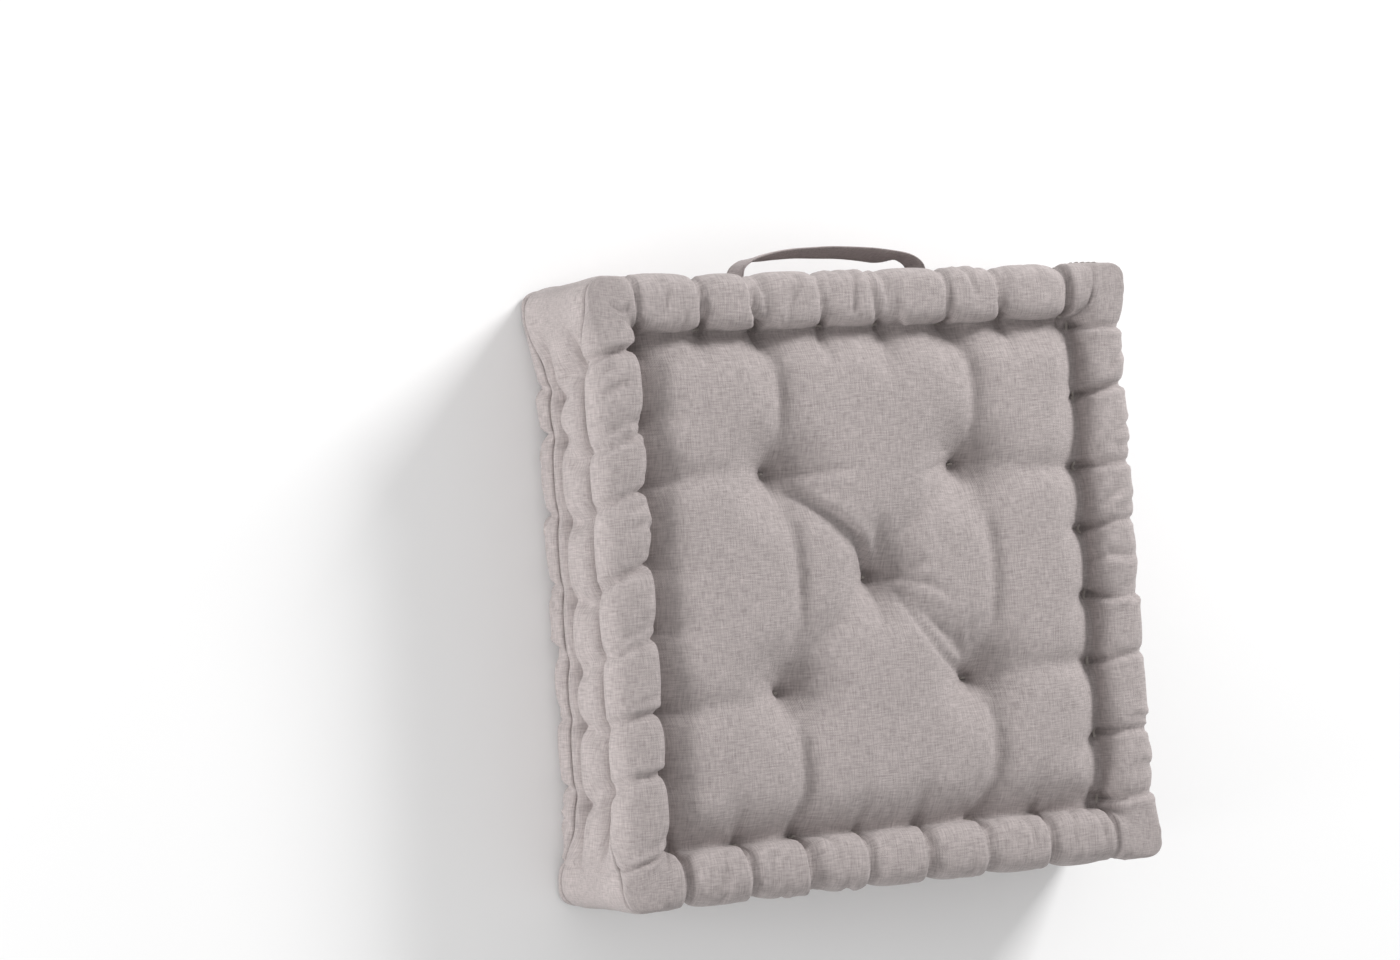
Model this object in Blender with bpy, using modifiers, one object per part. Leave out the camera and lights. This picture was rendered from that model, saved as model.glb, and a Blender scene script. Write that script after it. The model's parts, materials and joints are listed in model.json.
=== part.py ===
"""Boxed, tufted floor cushion with hand-stitched edge rolls and a carrying strap.

Metres, +Z up. The cushion lies flat: its footprint is centred on the empty
cushion_centre, which stands half the strap's reach in front of the origin, so
that the origin is under the middle of the whole object, strap included.
"""

import math

import bmesh
import bpy
from mathutils import Matrix, Vector

# ---------------------------------------------------------------- sizes
WIDTH = 0.450               # side to side, along X
DEPTH = 0.450               # front to back, along Y
THICKNESS = 0.120           # over the rolls

ROLL_WIDTH = 0.038          # outer wall to the stitched valley on the face
ROLL_HEIGHT = 0.040         # face to the tacked groove in the side
ROLL_CROWN = 0.0015         # how far the round roll is pressed flat on its crest
LOBE_RECESS = 0.004         # middle of the side band, behind the rolls
LOBE_EDGE = 0.007           # groove to the flat of the middle lobe
CORNER_LENGTH = 0.018       # untacked, full-height stretch at each corner
CORNER_FADE = 0.040         # from the corner to the fully stitched side
CORNER_RADIUS = 0.016
CORNER_EDGE_DROP = 0.0025   # the face's edge at a corner
CORNER_SEAM_DROP = 0.0090   # the seam below the face at a corner

FIELD_DROP = 0.005          # plump field below the roll's crest
FIELD_RISE = 0.034          # width of the slope from the valley up to the field
TUFT_PITCH = 0.080          # centre tuft to an outer tuft, along X and Y
TUFT_DEPTH = 0.036
TUFT_SPREAD = 0.050         # radius of a tuft's dimple
TUFT_FLAT = 0.005           # small flat at the bottom of a dimple

CLOTH = 0.0010              # cover fabric
CLOTH_GAP = 0.0005          # cover to filling
SHARPEST_TURN = 1.5         # most that a fold may lengthen that offset
GAP = 0.0003                # between pieces that touch
SEAM_CLEARANCE = 0.0006     # sewing thread to the cloth edges it joins

TWINE_RADIUS = 0.0008       # waxed tufting and roll twine
SEWING_RADIUS = 0.0004      # machine sewing thread
TIE_SPREAD = 0.0022         # half the distance between a tie's two legs
FILLING_BORE = 0.0042       # channel that a tie leaves in the stuffing
TIE_BEND = 0.0008           # rounding where a tie turns over the cloth
STITCH_PITCH = 0.050        # roll stitches
STITCH_RISE = 0.0012        # a stitch's arch over the cloth
VALLEY_SHIFT = 0.0013       # twine in the valley: towards the field
VALLEY_LIFT = 0.0024        # twine in the valley: above the cloth

STRAP_WIDTH = 0.028
STRAP_THICKNESS = 0.0022
STRAP_SPAN = 0.154          # leg to leg, between centre lines
STRAP_REACH = 0.024         # past the cushion's side, stitching included
STRAP_ARCH_POWER = 2.6      # above 2 the arch is squarer than an ellipse
STRAP_CLEARANCE = 0.0005    # leg to its sewn end as the strap tilts
STRAP_END_LENGTH = 0.030
STITCH_MARGIN = 0.003       # stitching to the strap's edge

CLOSING_START = 0.006       # hand-closed opening, from the side wall
CLOSING_LENGTH = 0.036
CLOSING_STITCH = 0.004      # one whip stitch

# ------------------------------------------------------- worked-out places
HALF_X = WIDTH / 2
HALF_Y = DEPTH / 2
MID_Z = THICKNESS / 2
CENTRE_Y = -STRAP_REACH / 2
FIELD_CELLS = 3             # cells from a tuft to the next, and on to the valley
VALLEY = 2 * FIELD_CELLS    # ring number of the stitched valley
ROLL_ANGLES = (180, 130, 110, 70, 40, 0)
SEAM_ANGLE = -30
GROOVE_ANGLE = -75
SEAM_RING = VALLEY + len(ROLL_ANGLES)
SEAM_GAP = 2 * (SEWING_RADIUS + SEAM_CLEARANCE)
TIE_FLOOR = GAP + TWINE_RADIUS
STRAP_AXIS_Y = (HALF_Y - LOBE_RECESS + GAP + STRAP_THICKNESS
                + STRAP_CLEARANCE + STRAP_WIDTH / 2)
STRAP_FACE = SEAM_CLEARANCE + SEWING_RADIUS            # stitching over the strap
STRAP_CELLS = 20
STRAIGHT = 0.001            # turn, in radians, that a thread needs no point for
STRAP_CREST_Y = (HALF_Y + STRAP_REACH - STRAP_FACE - SEWING_RADIUS
                 - STRAP_THICKNESS / 2)

COLOURS = {
    "cover": (0.440, 0.395, 0.378, 1.0),
    "strap": (0.400, 0.357, 0.343, 1.0),
    "twine": (0.560, 0.515, 0.480, 1.0),
    "thread": (0.470, 0.425, 0.405, 1.0),
    "stuffing": (0.720, 0.690, 0.640, 1.0),
}

for old in list(bpy.data.objects):
    bpy.data.objects.remove(old, do_unlink=True)

cushion_parts = bpy.data.collections.new("floor_cushion")
cutter_parts = bpy.data.collections.new("cutters")
bpy.context.scene.collection.children.link(cushion_parts)
bpy.context.scene.collection.children.link(cutter_parts)

cushion_centre = bpy.data.objects.new("cushion_centre", None)
cushion_centre.location = (0, CENTRE_Y, 0)
cushion_parts.objects.link(cushion_centre)

strap_pivot = bpy.data.objects.new("strap_pivot", None)
strap_pivot.location = (0, STRAP_AXIS_Y, MID_Z)
strap_pivot.parent = cushion_centre
cushion_parts.objects.link(strap_pivot)
bpy.context.view_layer.update()


# ------------------------------------------------------------ materials
def cloth_material(finish, roughness):
    material = bpy.data.materials.new(finish)
    material.use_nodes = True
    shader = material.node_tree.nodes["Principled BSDF"]
    shader.inputs["Base Color"].default_value = COLOURS[finish]
    shader.inputs["Roughness"].default_value = roughness
    shader.inputs["Metallic"].default_value = 0.0
    material.diffuse_color = COLOURS[finish]
    return material


materials = {
    "cover": cloth_material("cover", 0.9),
    "strap": cloth_material("strap", 0.9),
    "twine": cloth_material("twine", 0.7),
    "thread": cloth_material("thread", 0.7),
    "stuffing": cloth_material("stuffing", 1.0),
}


# ------------------------------------------------------- shared helpers
def add_object(name, data, finish, parent=cushion_centre):
    """Put a mesh or curve in the cushion, under its parent."""
    piece = bpy.data.objects.new(name, data)
    piece.data.materials.append(materials[finish])
    piece.parent = parent
    cushion_parts.objects.link(piece)
    return piece


def add_thread(name, points, radius, finish, closed=False, parent=cushion_centre):
    """A round thread along a list of points."""
    curve = bpy.data.curves.new(name, "CURVE")
    curve.dimensions = "3D"
    spline = curve.splines.new("POLY")
    spline.points.add(len(points) - 1)
    for place, point in zip(spline.points, points):
        place.co = (*point, 1)
    spline.use_cyclic_u = closed
    curve.bevel_depth = radius
    curve.bevel_resolution = 1
    curve.use_fill_caps = not closed
    return add_object(name, curve, finish, parent)


def hide_cutter(piece):
    cushion_parts.objects.unlink(piece)
    cutter_parts.objects.link(piece)
    piece.hide_render = True
    piece.display_type = "WIRE"


def cut_away(piece, cutter):
    difference = piece.modifiers.new("holes", "BOOLEAN")
    difference.operation = "DIFFERENCE"
    difference.solver = "EXACT"
    difference.object = cutter


def blend(a, b, share):
    return a + (b - a) * share


def ease(share):
    """0 to 1 with a level start and end."""
    share = min(max(share, 0.0), 1.0)
    return share * share * (3 - 2 * share)


# ---------------------------------------------- the cushion's outer form
def tuft_centres():
    """The five tufts, named by where they are."""
    return {
        "centre": (0, 0),
        "front_left": (-TUFT_PITCH, -TUFT_PITCH),
        "front_right": (TUFT_PITCH, -TUFT_PITCH),
        "back_left": (-TUFT_PITCH, TUFT_PITCH),
        "back_right": (TUFT_PITCH, TUFT_PITCH),
    }


def field_position(ring, half):
    """Distance from the middle of grid line number ring, up to the valley."""
    if ring <= FIELD_CELLS:
        return TUFT_PITCH * ring / FIELD_CELLS
    return blend(TUFT_PITCH, half - ROLL_WIDTH, (ring - FIELD_CELLS) / FIELD_CELLS)


def field_height(x, y):
    """The plump face between the four valleys, with its tuft dimples."""
    to_valley = min(HALF_X - ROLL_WIDTH - abs(x), HALF_Y - ROLL_WIDTH - abs(y))
    low = THICKNESS - ROLL_HEIGHT / 2
    height = blend(low, THICKNESS - FIELD_DROP, ease(to_valley / FIELD_RISE))
    for centre_x, centre_y in tuft_centres().values():
        away = math.hypot(x - centre_x, y - centre_y) / TUFT_SPREAD
        height -= TUFT_DEPTH * max(1 - away, 0) ** 2
    return height


def roll_section(angle):
    """(inset, height) on a stitched roll; 180 is its valley, 0 its outer side."""
    turn = math.radians(angle)
    inset = ROLL_WIDTH / 2 * (1 - math.cos(turn))
    rise = (ROLL_HEIGHT / 2 + ROLL_CROWN * (angle > 0)) * math.sin(turn)
    return inset, THICKNESS - ROLL_HEIGHT / 2 + min(rise, ROLL_HEIGHT / 2)


def corner_section(angle):
    """The same ring on an untacked corner, which stands straight and square."""
    inset, height = roll_section(max(angle, 0))
    flat_from = 70
    if angle >= flat_from:
        return inset, height
    if angle >= 0:
        return inset, THICKNESS - CORNER_EDGE_DROP * (flat_from - angle) / flat_from
    if angle >= SEAM_ANGLE:
        drop = blend(CORNER_EDGE_DROP, CORNER_SEAM_DROP, angle / SEAM_ANGLE)
        return 0, THICKNESS - drop
    share = (SEAM_ANGLE - angle) / (SEAM_ANGLE - GROOVE_ANGLE)
    return 0, blend(THICKNESS - CORNER_SEAM_DROP, THICKNESS - ROLL_HEIGHT, share)


def edge_section(angle, corner_share):
    side, corner = roll_section(angle), corner_section(angle)
    return Vector((blend(side[0], corner[0], corner_share),
                   blend(side[1], corner[1], corner_share)))


def seam_section(corner_share, offset):
    """A point on the section, offset along it from the seam."""
    seam = edge_section(SEAM_ANGLE, corner_share)
    along = edge_section(SEAM_ANGLE - 15, corner_share) - edge_section(
        SEAM_ANGLE + 15, corner_share)
    return seam + along.normalized() * offset


def lobe_section(corner_share, height):
    return Vector((LOBE_RECESS * (1 - corner_share), height))


def along_place(index, ring, half, inset):
    """Coordinate of grid line index where it meets the square ring."""
    if abs(index) <= VALLEY:
        return math.copysign(field_position(abs(index), half), index)
    share = (abs(index) - VALLEY) / (ring - VALLEY)
    return math.copysign(half - ROLL_WIDTH + (ROLL_WIDTH - inset) * share, index)


def ring_place(column, row, ring, section):
    """Point of the square ring, number ring, whose (inset, height) section gives."""
    if abs(column) >= abs(row):
        to_corner = HALF_Y - abs(along_place(row, ring, HALF_Y, 0))
    else:
        to_corner = HALF_X - abs(along_place(column, ring, HALF_X, 0))
    inset, height = section(1 - ease((to_corner - CORNER_LENGTH) / CORNER_FADE))
    x = along_place(column, ring, HALF_X, inset)
    y = along_place(row, ring, HALF_Y, inset)
    return Vector((*round_corner(x, y, inset), height))


def round_corner(x, y, inset):
    radius = max(CORNER_RADIUS - inset, CORNER_RADIUS / 8)
    core_x, core_y = HALF_X - inset - radius, HALF_Y - inset - radius
    out_x, out_y = abs(x) - core_x, abs(y) - core_y
    if out_x <= 0 or out_y <= 0:
        return x, y
    scale = radius / math.hypot(out_x, out_y)
    return (math.copysign(core_x + out_x * scale, x),
            math.copysign(core_y + out_y * scale, y))


def face_place(column, row):
    """Where grid point (column, row) of the face panel lies."""
    ring = max(abs(column), abs(row))
    if ring <= VALLEY:
        x = math.copysign(field_position(abs(column), HALF_X), column)
        y = math.copysign(field_position(abs(row), HALF_Y), row)
        return Vector((x, y, field_height(x, y)))
    if ring < SEAM_RING:
        angle = ROLL_ANGLES[ring - VALLEY]
        return ring_place(column, row, ring, lambda share: edge_section(angle, share))
    return ring_place(column, row, ring, lambda share: seam_section(share, -SEAM_GAP / 2))


def perimeter():
    """Grid points round the seam ring, anticlockwise from the front's middle."""
    n = SEAM_RING
    front_half = [(i, -n) for i in range(0, n)]
    right = [(n, j) for j in range(-n, n)]
    back = [(i, n) for i in range(n, -n, -1)]
    left = [(-n, j) for j in range(n, -n, -1)]
    return front_half + right + back + left + [(i, -n) for i in range(-n, 0)]


def face_grid(edge_place=None):
    """The face as a square grid of cells, wrapped over the rolls to the seam."""
    form = bmesh.new()
    n = SEAM_RING
    bmesh.ops.create_grid(form, x_segments=2 * n, y_segments=2 * n, size=n)
    for point in form.verts:
        column, row = round(point.co.x), round(point.co.y)
        if edge_place and max(abs(column), abs(row)) == n:
            point.co = edge_place(column, row)
        else:
            point.co = face_place(column, row)
    flatten_dimples(form)
    return form


def flatten_dimples(form):
    """A small flat at the bottom of each dimple, where the tie bears."""
    tips = []
    for x, y in tuft_centres().values():
        tips.append(min(form.verts, key=lambda v: (v.co.xy - Vector((x, y))).length))
    bmesh.ops.bevel(form, geom=tips, offset=TUFT_FLAT, affect="VERTICES", segments=1,
                    profile=0.5, clamp_overlap=True)


def dimple_floor():
    """Height of the cloth at the bottom of a dimple."""
    next_ring = TUFT_PITCH / FIELD_CELLS
    tip, beside = field_height(0, 0), field_height(next_ring, 0)
    slope_length = math.hypot(next_ring, beside - tip)
    return tip + (beside - tip) * TUFT_FLAT / slope_length


def finish_form(form, name):
    """Triangles by one rule, so that nested surfaces stay parallel."""
    bmesh.ops.triangulate(form, faces=form.faces, quad_method="SHORT_EDGE")
    bmesh.ops.recalc_face_normals(form, faces=form.faces)
    mesh = bpy.data.meshes.new(name)
    form.to_mesh(mesh)
    form.free()
    return mesh


def turn_over(mesh):
    """The bottom copy of a top mesh."""
    mesh.transform(Matrix.Translation((0, 0, THICKNESS)) @ Matrix.Scale(-1, 4, (0, 0, 1)))
    mesh.flip_normals()


def thicken(piece):
    cloth = piece.modifiers.new("cloth", "SOLIDIFY")
    cloth.thickness = CLOTH
    cloth.offset = -1
    cloth.use_even_offset = True


# ------------------------------------------------------------- the cover
def make_tie_holes(name, radius, spread):
    """Upright cutters at the tufts: one, or a pair, at each."""
    form = bmesh.new()
    for x, y in tuft_centres().values():
        for offset in sorted({-spread, spread}):
            bmesh.ops.create_cone(form, cap_ends=True, segments=8, radius1=radius,
                                  radius2=radius, depth=2 * THICKNESS,
                                  matrix=Matrix.Translation((x + offset, y, MID_Z)))
    mesh = bpy.data.meshes.new(name)
    form.to_mesh(mesh)
    form.free()
    cutter = add_object(name, mesh, "twine")
    hide_cutter(cutter)
    return cutter


def make_face_panels():
    """Top and bottom panels, each drawn over its rolls to the side seam."""
    holes = make_tie_holes("tie_holes", TWINE_RADIUS + GAP, TIE_SPREAD)
    for name, bottom in (("top_panel", False), ("bottom_panel", True)):
        mesh = finish_form(face_grid(), name)
        if mesh.polygons[0].normal.z < 0:
            mesh.flip_normals()
        if bottom:
            turn_over(mesh)
        panel = add_object(name, mesh, "cover")
        thicken(panel)
        cut_away(panel, holes)


def band_sections():
    """The band's rows from its top seam to its bottom seam, as sections."""
    lobe_top = THICKNESS - ROLL_HEIGHT - LOBE_EDGE
    upper = [
        lambda share: seam_section(share, SEAM_GAP / 2),
        lambda share: edge_section(GROOVE_ANGLE, share),
        lambda share: lobe_section(share, lobe_top),
    ]

    def turned(section):
        def under(share):
            inset, height = section(share)
            return Vector((inset, THICKNESS - height))
        return under

    return upper + [turned(section) for section in reversed(upper)]


def make_side_band():
    """One long strip round the four sides, its ends meeting mid-front."""
    stations = perimeter()
    sections = band_sections()
    form = bmesh.new()
    bmesh.ops.create_grid(form, x_segments=len(stations), y_segments=len(sections) - 1,
                          size=1)
    for point in form.verts:
        station = round((point.co.x + 1) / 2 * len(stations))
        section = sections[round((1 - point.co.y) / 2 * (len(sections) - 1))]
        column, row = stations[station % len(stations)]
        point.co = ring_place(column, row, SEAM_RING, section)
        if station == 0:
            point.co.x += SEAM_GAP / 2
        if station == len(stations):
            point.co.x -= SEAM_GAP / 2
    mesh = finish_form(form, "side_band")
    if mesh.polygons[0].normal.dot(mesh.polygons[0].center - Vector((0, 0, MID_Z))) < 0:
        mesh.flip_normals()
    thicken(add_object("side_band", mesh, "cover"))


# ---------------------------------------------------------- the stuffing
def make_filling():
    """Fibre stuffing that fills the cover, with a channel at each tie."""
    seam_ring = [lambda share: seam_section(share, 0)]
    rows = seam_ring + band_sections()[1:3] + [lambda share: lobe_section(share, MID_Z)]

    def seam_place(column, row):
        return ring_place(column, row, SEAM_RING, rows[0])

    form = face_grid(seam_place)
    stations = perimeter()
    wall = bmesh.new()
    bmesh.ops.create_grid(wall, x_segments=len(stations), y_segments=len(rows) - 1, size=1)
    for point in wall.verts:
        station = round((point.co.x + 1) / 2 * len(stations))
        section = rows[round((1 - point.co.y) / 2 * (len(rows) - 1))]
        column, row = stations[station % len(stations)]
        point.co = ring_place(column, row, SEAM_RING, section)
    wall_mesh = bpy.data.meshes.new("wall")
    wall.to_mesh(wall_mesh)
    wall.free()
    form.from_mesh(wall_mesh)
    bpy.data.meshes.remove(wall_mesh)
    bmesh.ops.remove_doubles(form, verts=form.verts, dist=1e-5)
    bmesh.ops.triangulate(form, faces=form.faces, quad_method="SHORT_EDGE")
    mirrored = form.copy()
    bmesh.ops.transform(mirrored, verts=mirrored.verts,
                        matrix=Matrix.Translation((0, 0, THICKNESS))
                        @ Matrix.Scale(-1, 4, (0, 0, 1)))
    lower = bpy.data.meshes.new("lower")
    mirrored.to_mesh(lower)
    mirrored.free()
    form.from_mesh(lower)
    bpy.data.meshes.remove(lower)
    bmesh.ops.remove_doubles(form, verts=form.verts, dist=1e-5)
    bmesh.ops.recalc_face_normals(form, faces=form.faces)
    if form.calc_volume(signed=True) < 0:
        bmesh.ops.reverse_faces(form, faces=form.faces)
    form.normal_update()
    shrink = CLOTH + CLOTH_GAP
    places = [v.co - v.normal * shrink * min(v.calc_shell_factor(), SHARPEST_TURN)
              for v in form.verts]
    for point, place in zip(form.verts, places):
        point.co = place
    mesh = bpy.data.meshes.new("filling")
    form.to_mesh(mesh)
    form.free()
    filling = add_object("filling", mesh, "stuffing")
    cut_away(filling, make_tie_holes("tie_channels", FILLING_BORE, 0))


# ------------------------------------------------------------- the twine
def make_tuft_ties():
    """A doubled twine through the cushion at each tuft, drawn tight and knotted."""
    top = dimple_floor() + TIE_FLOOR
    bottom = THICKNESS - top
    side, bend = TIE_SPREAD, TIE_BEND
    loop = [(-side, top - bend), (-side + bend, top), (side - bend, top), (side, top - bend),
            (side, bottom + bend), (side - bend, bottom), (-side + bend, bottom),
            (-side, bottom + bend)]
    for place, (x, y) in tuft_centres().items():
        points = [(x + across, y, height) for across, height in loop]
        add_thread("tuft_tie_" + place, points, TWINE_RADIUS, "twine", closed=True)


def make_roll_threads():
    """The hand-stitched twine in each valley, one length to a side and face."""
    sides = {
        "front": (0, -1), "back": (0, 1), "left": (-1, 0), "right": (1, 0),
    }
    for side, (out_x, out_y) in sides.items():
        half_out, half_along = (HALF_X, HALF_Y) if out_x else (HALF_Y, HALF_X)
        away = half_out - ROLL_WIDTH - VALLEY_SHIFT
        reach = half_along - ROLL_WIDTH - ROLL_WIDTH / 4
        count = max(round(2 * reach / STITCH_PITCH), 1)
        points = []
        for step in range(2 * count + 1):
            along = blend(-reach, reach, step / (2 * count))
            height = THICKNESS - ROLL_HEIGHT / 2 + VALLEY_LIFT + STITCH_RISE * (step % 2)
            points.append(Vector((out_x * away + abs(out_y) * along,
                                  out_y * away + abs(out_x) * along, height)))
        add_thread("roll_thread_top_" + side, points, TWINE_RADIUS, "twine")
        under = [Vector((p.x, p.y, THICKNESS - p.z)) for p in points]
        add_thread("roll_thread_bottom_" + side, under, TWINE_RADIUS, "twine")


# ----------------------------------------------------- seams and closing
def make_seam_threads():
    """Lockstitch that joins each panel to the side band, all the way round."""
    def section(share):
        return seam_section(share, 0) + Vector((CLOTH / 2, 0))

    ring = [ring_place(column, row, SEAM_RING, section) for column, row in perimeter()]
    points = [here for before, here, after in zip(ring[-1:] + ring, ring, ring[1:] + ring)
              if (here - before).angle(after - here) > STRAIGHT]
    add_thread("top_seam_thread", points, SEWING_RADIUS, "thread", closed=True)
    under = [Vector((p.x, p.y, THICKNESS - p.z)) for p in points]
    add_thread("bottom_seam_thread", under, SEWING_RADIUS, "thread", closed=True)


def make_band_join_thread():
    """The seam that joins the two ends of the side band, mid-front."""
    points = []
    for section in band_sections():
        place = ring_place(0, -SEAM_RING, SEAM_RING, section)
        points.append(place + Vector((0, CLOTH / 2, 0)))
    end = GAP + SEWING_RADIUS
    points[0].z -= end
    points[-1].z += end
    add_thread("band_join_thread", points, SEWING_RADIUS, "thread")


def make_closing_stitch():
    """Whip stitches over the seam where the cushion was stuffed and shut."""
    start = HALF_X - CORNER_RADIUS - CLOSING_START
    count = round(CLOSING_LENGTH / CLOSING_STITCH)
    wall_y = HALF_Y + GAP + SEWING_RADIUS
    points = []
    for step in range(2 * count + 1):
        across = CLOSING_STITCH / 2 * (1 if step % 2 else -1)
        x = start - step * CLOSING_LENGTH / (2 * count)
        points.append(Vector((x, wall_y, THICKNESS - 2 * ROLL_HEIGHT / 5 + across)))
    add_thread("closing_stitch_thread", points, SEWING_RADIUS, "thread")


# ------------------------------------------------------------- the strap
def strap_arch(share, out=0.0):
    """(x, y) on the strap's arch from the right leg to the left, out of its middle."""
    def middle(at):
        turn = math.pi * at
        power = 2 / STRAP_ARCH_POWER
        x = STRAP_SPAN / 2 * math.copysign(abs(math.cos(turn)) ** power, math.cos(turn))
        y = (STRAP_CREST_Y - STRAP_AXIS_Y) * abs(math.sin(turn)) ** power
        return Vector((x, y))

    step = 0.004
    before, after = middle(max(share - step, 0)), middle(min(share + step, 1))
    along = (after - before).normalized()
    return middle(share) + Vector((along.y, -along.x)) * out


def make_strap_loop():
    """The carrying strap's free loop; its legs end round, about the tilt axis."""
    across_cells = 6
    cells = STRAP_CELLS + 2
    form = bmesh.new()
    bmesh.ops.create_grid(form, x_segments=cells, y_segments=across_cells, size=1)
    for point in form.verts:
        station = round((point.co.x + 1) / 2 * cells)
        angle = point.co.y * math.pi / 2
        rise = STRAP_WIDTH / 2 * math.sin(angle)
        back = STRAP_WIDTH / 2 * math.cos(angle)
        if station in (0, cells):
            side = 1 if station == 0 else -1
            point.co = (side * STRAP_SPAN / 2, -back, rise)
        else:
            x, y = strap_arch((station - 1) / STRAP_CELLS)
            point.co = (x, y, rise)
    bmesh.ops.remove_doubles(form, verts=form.verts, dist=1e-6)
    mesh = finish_form(form, "handle_loop")
    loop = add_object("handle_loop", mesh, "strap", strap_pivot)
    webbing = loop.modifiers.new("webbing", "SOLIDIFY")
    webbing.thickness = STRAP_THICKNESS
    webbing.offset = 0
    webbing.use_even_offset = True


def make_strap_topstitches():
    """Two rows of topstitching, one along each edge of the strap."""
    out = STRAP_THICKNESS / 2 + STRAP_FACE
    rows = {"upper": 1, "lower": -1}
    for row, up in rows.items():
        height = up * (STRAP_WIDTH / 2 - STITCH_MARGIN)
        points = []
        for step in range(STRAP_CELLS + 1):
            x, y = strap_arch(step / STRAP_CELLS, out)
            points.append(Vector((x, y, height)))
        add_thread("handle_topstitch_" + row, points, SEWING_RADIUS, "thread",
                   parent=strap_pivot)


def make_strap_ends():
    """The strap's ends lie flat on the band, each held by a box of stitching."""
    inner = STRAP_SPAN / 2 - STRAP_THICKNESS / 2
    face_y = HALF_Y - LOBE_RECESS + GAP
    for side, name in ((-1, "left"), (1, "right")):
        middle_x = side * (inner + STRAP_END_LENGTH / 2)
        form = bmesh.new()
        bmesh.ops.create_cube(form, size=1)
        bmesh.ops.scale(form, verts=form.verts,
                        vec=(STRAP_END_LENGTH, STRAP_THICKNESS, STRAP_WIDTH))
        mesh = bpy.data.meshes.new("handle_end_" + name)
        form.to_mesh(mesh)
        form.free()
        end = add_object("handle_end_" + name, mesh, "strap")
        end.location = (middle_x, face_y + STRAP_THICKNESS / 2, MID_Z)
        box_from = STRAP_THICKNESS + 2 * STITCH_MARGIN
        left = inner + box_from
        right = inner + STRAP_END_LENGTH - STITCH_MARGIN
        rise = STRAP_WIDTH / 2 - STITCH_MARGIN
        stitch_y = face_y + STRAP_THICKNESS + STRAP_FACE
        corners = [(left, -rise), (right, -rise), (right, rise), (left, rise)]
        points = [Vector((side * x, stitch_y, MID_Z + z)) for x, z in corners]
        add_thread("box_stitch_" + name, points, SEWING_RADIUS, "thread", closed=True)


make_face_panels()
make_side_band()
make_filling()
make_tuft_ties()
make_roll_threads()
make_seam_threads()
make_band_join_thread()
make_closing_stitch()
make_strap_loop()
make_strap_topstitches()
make_strap_ends()
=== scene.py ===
"""Boxed, tufted floor cushion in a linen weave, with hand-stitched edge rolls and a carrying strap.

Metres, +Z up. The cushion lies flat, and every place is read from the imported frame.
"""
import json
import math

import bpy
import numpy as np
from mathutils import Matrix, Vector
from mathutils.bvhtree import BVHTree


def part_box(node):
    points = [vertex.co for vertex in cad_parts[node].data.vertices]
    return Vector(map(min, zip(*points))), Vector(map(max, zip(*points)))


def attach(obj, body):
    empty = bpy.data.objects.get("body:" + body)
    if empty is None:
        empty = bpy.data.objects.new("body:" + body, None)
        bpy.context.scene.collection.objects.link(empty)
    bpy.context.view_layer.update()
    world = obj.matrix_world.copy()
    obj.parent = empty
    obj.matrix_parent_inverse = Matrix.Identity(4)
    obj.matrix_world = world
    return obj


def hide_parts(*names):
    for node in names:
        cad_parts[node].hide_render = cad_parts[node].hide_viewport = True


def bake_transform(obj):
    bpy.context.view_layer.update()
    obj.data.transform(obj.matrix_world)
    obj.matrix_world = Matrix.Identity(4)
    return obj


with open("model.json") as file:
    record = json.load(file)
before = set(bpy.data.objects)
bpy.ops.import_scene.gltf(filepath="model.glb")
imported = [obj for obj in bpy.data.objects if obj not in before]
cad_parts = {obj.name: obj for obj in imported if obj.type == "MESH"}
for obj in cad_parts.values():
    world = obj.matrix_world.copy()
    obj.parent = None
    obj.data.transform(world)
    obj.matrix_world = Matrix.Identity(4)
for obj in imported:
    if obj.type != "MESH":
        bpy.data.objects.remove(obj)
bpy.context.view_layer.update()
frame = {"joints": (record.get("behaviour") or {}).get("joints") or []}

scene = bpy.context.scene

# ------------------------------------------------------------------------------------ camera
# One long-lens view onto the face from its left, as when the cushion leans against a stack of
# others and is seen from the front.
panel_low, panel_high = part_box("top_panel")
centre = Vector(((panel_low.x + panel_high.x) / 2, (panel_low.y + panel_high.y) / 2, 0))

EYE = Vector((-1.3637, 0.0179, 2.5245))         # from the cushion's centre
LOOKS_ALONG = Vector((0.4514, 0.0221, -0.8921)).normalized()
UPRIGHT = Vector((0.0486, 0.9976, 0.0493))


def put(name, data):
    """A new object in the scene."""
    made = bpy.data.objects.new(name, data)
    scene.collection.objects.link(made)
    return made


camera_data = bpy.data.cameras.new("camera")
camera_data.sensor_width = 36.0
camera_data.lens = 97.3
camera = put("camera", camera_data)
view_right = LOOKS_ALONG.cross(UPRIGHT).normalized()
view_up = view_right.cross(LOOKS_ALONG)
camera.matrix_world = Matrix.Translation(centre + EYE) @ Matrix(
    (view_right, view_up, -LOOKS_ALONG)).transposed().to_4x4()
scene.camera = camera

# ------------------------------------------------------------------------------------ cover
# Three pieces of one linen-like cotton: a square panel to each face, drawn over the edge rolls,
# and one long band between them. They are cut larger than the cushion, sewn, turned and stuffed,
# and the twine then draws them in at five tufts and along the rolls, which puckers them.
CELL = 0.0052                 # spacing of the net, before it is made to fit the field
ROLL_STEPS = 14               # net rows from the stitched valley over the roll to the seam
LIP_STEPS = 3                 # seam to groove
LOBE_STEPS = 6                # groove to the middle of the band
ROLL_HEIGHT, ROLL_ACROSS = 0.040, 0.038
LOBE_RECESS = 0.004           # the band's middle to the outer wall
LOBE_POWER = 0.7              # 1 is round, and less is squarer
SEAM_TURN, GROOVE_TURN = -30.0, -75.0   # degrees round the roll

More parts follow.
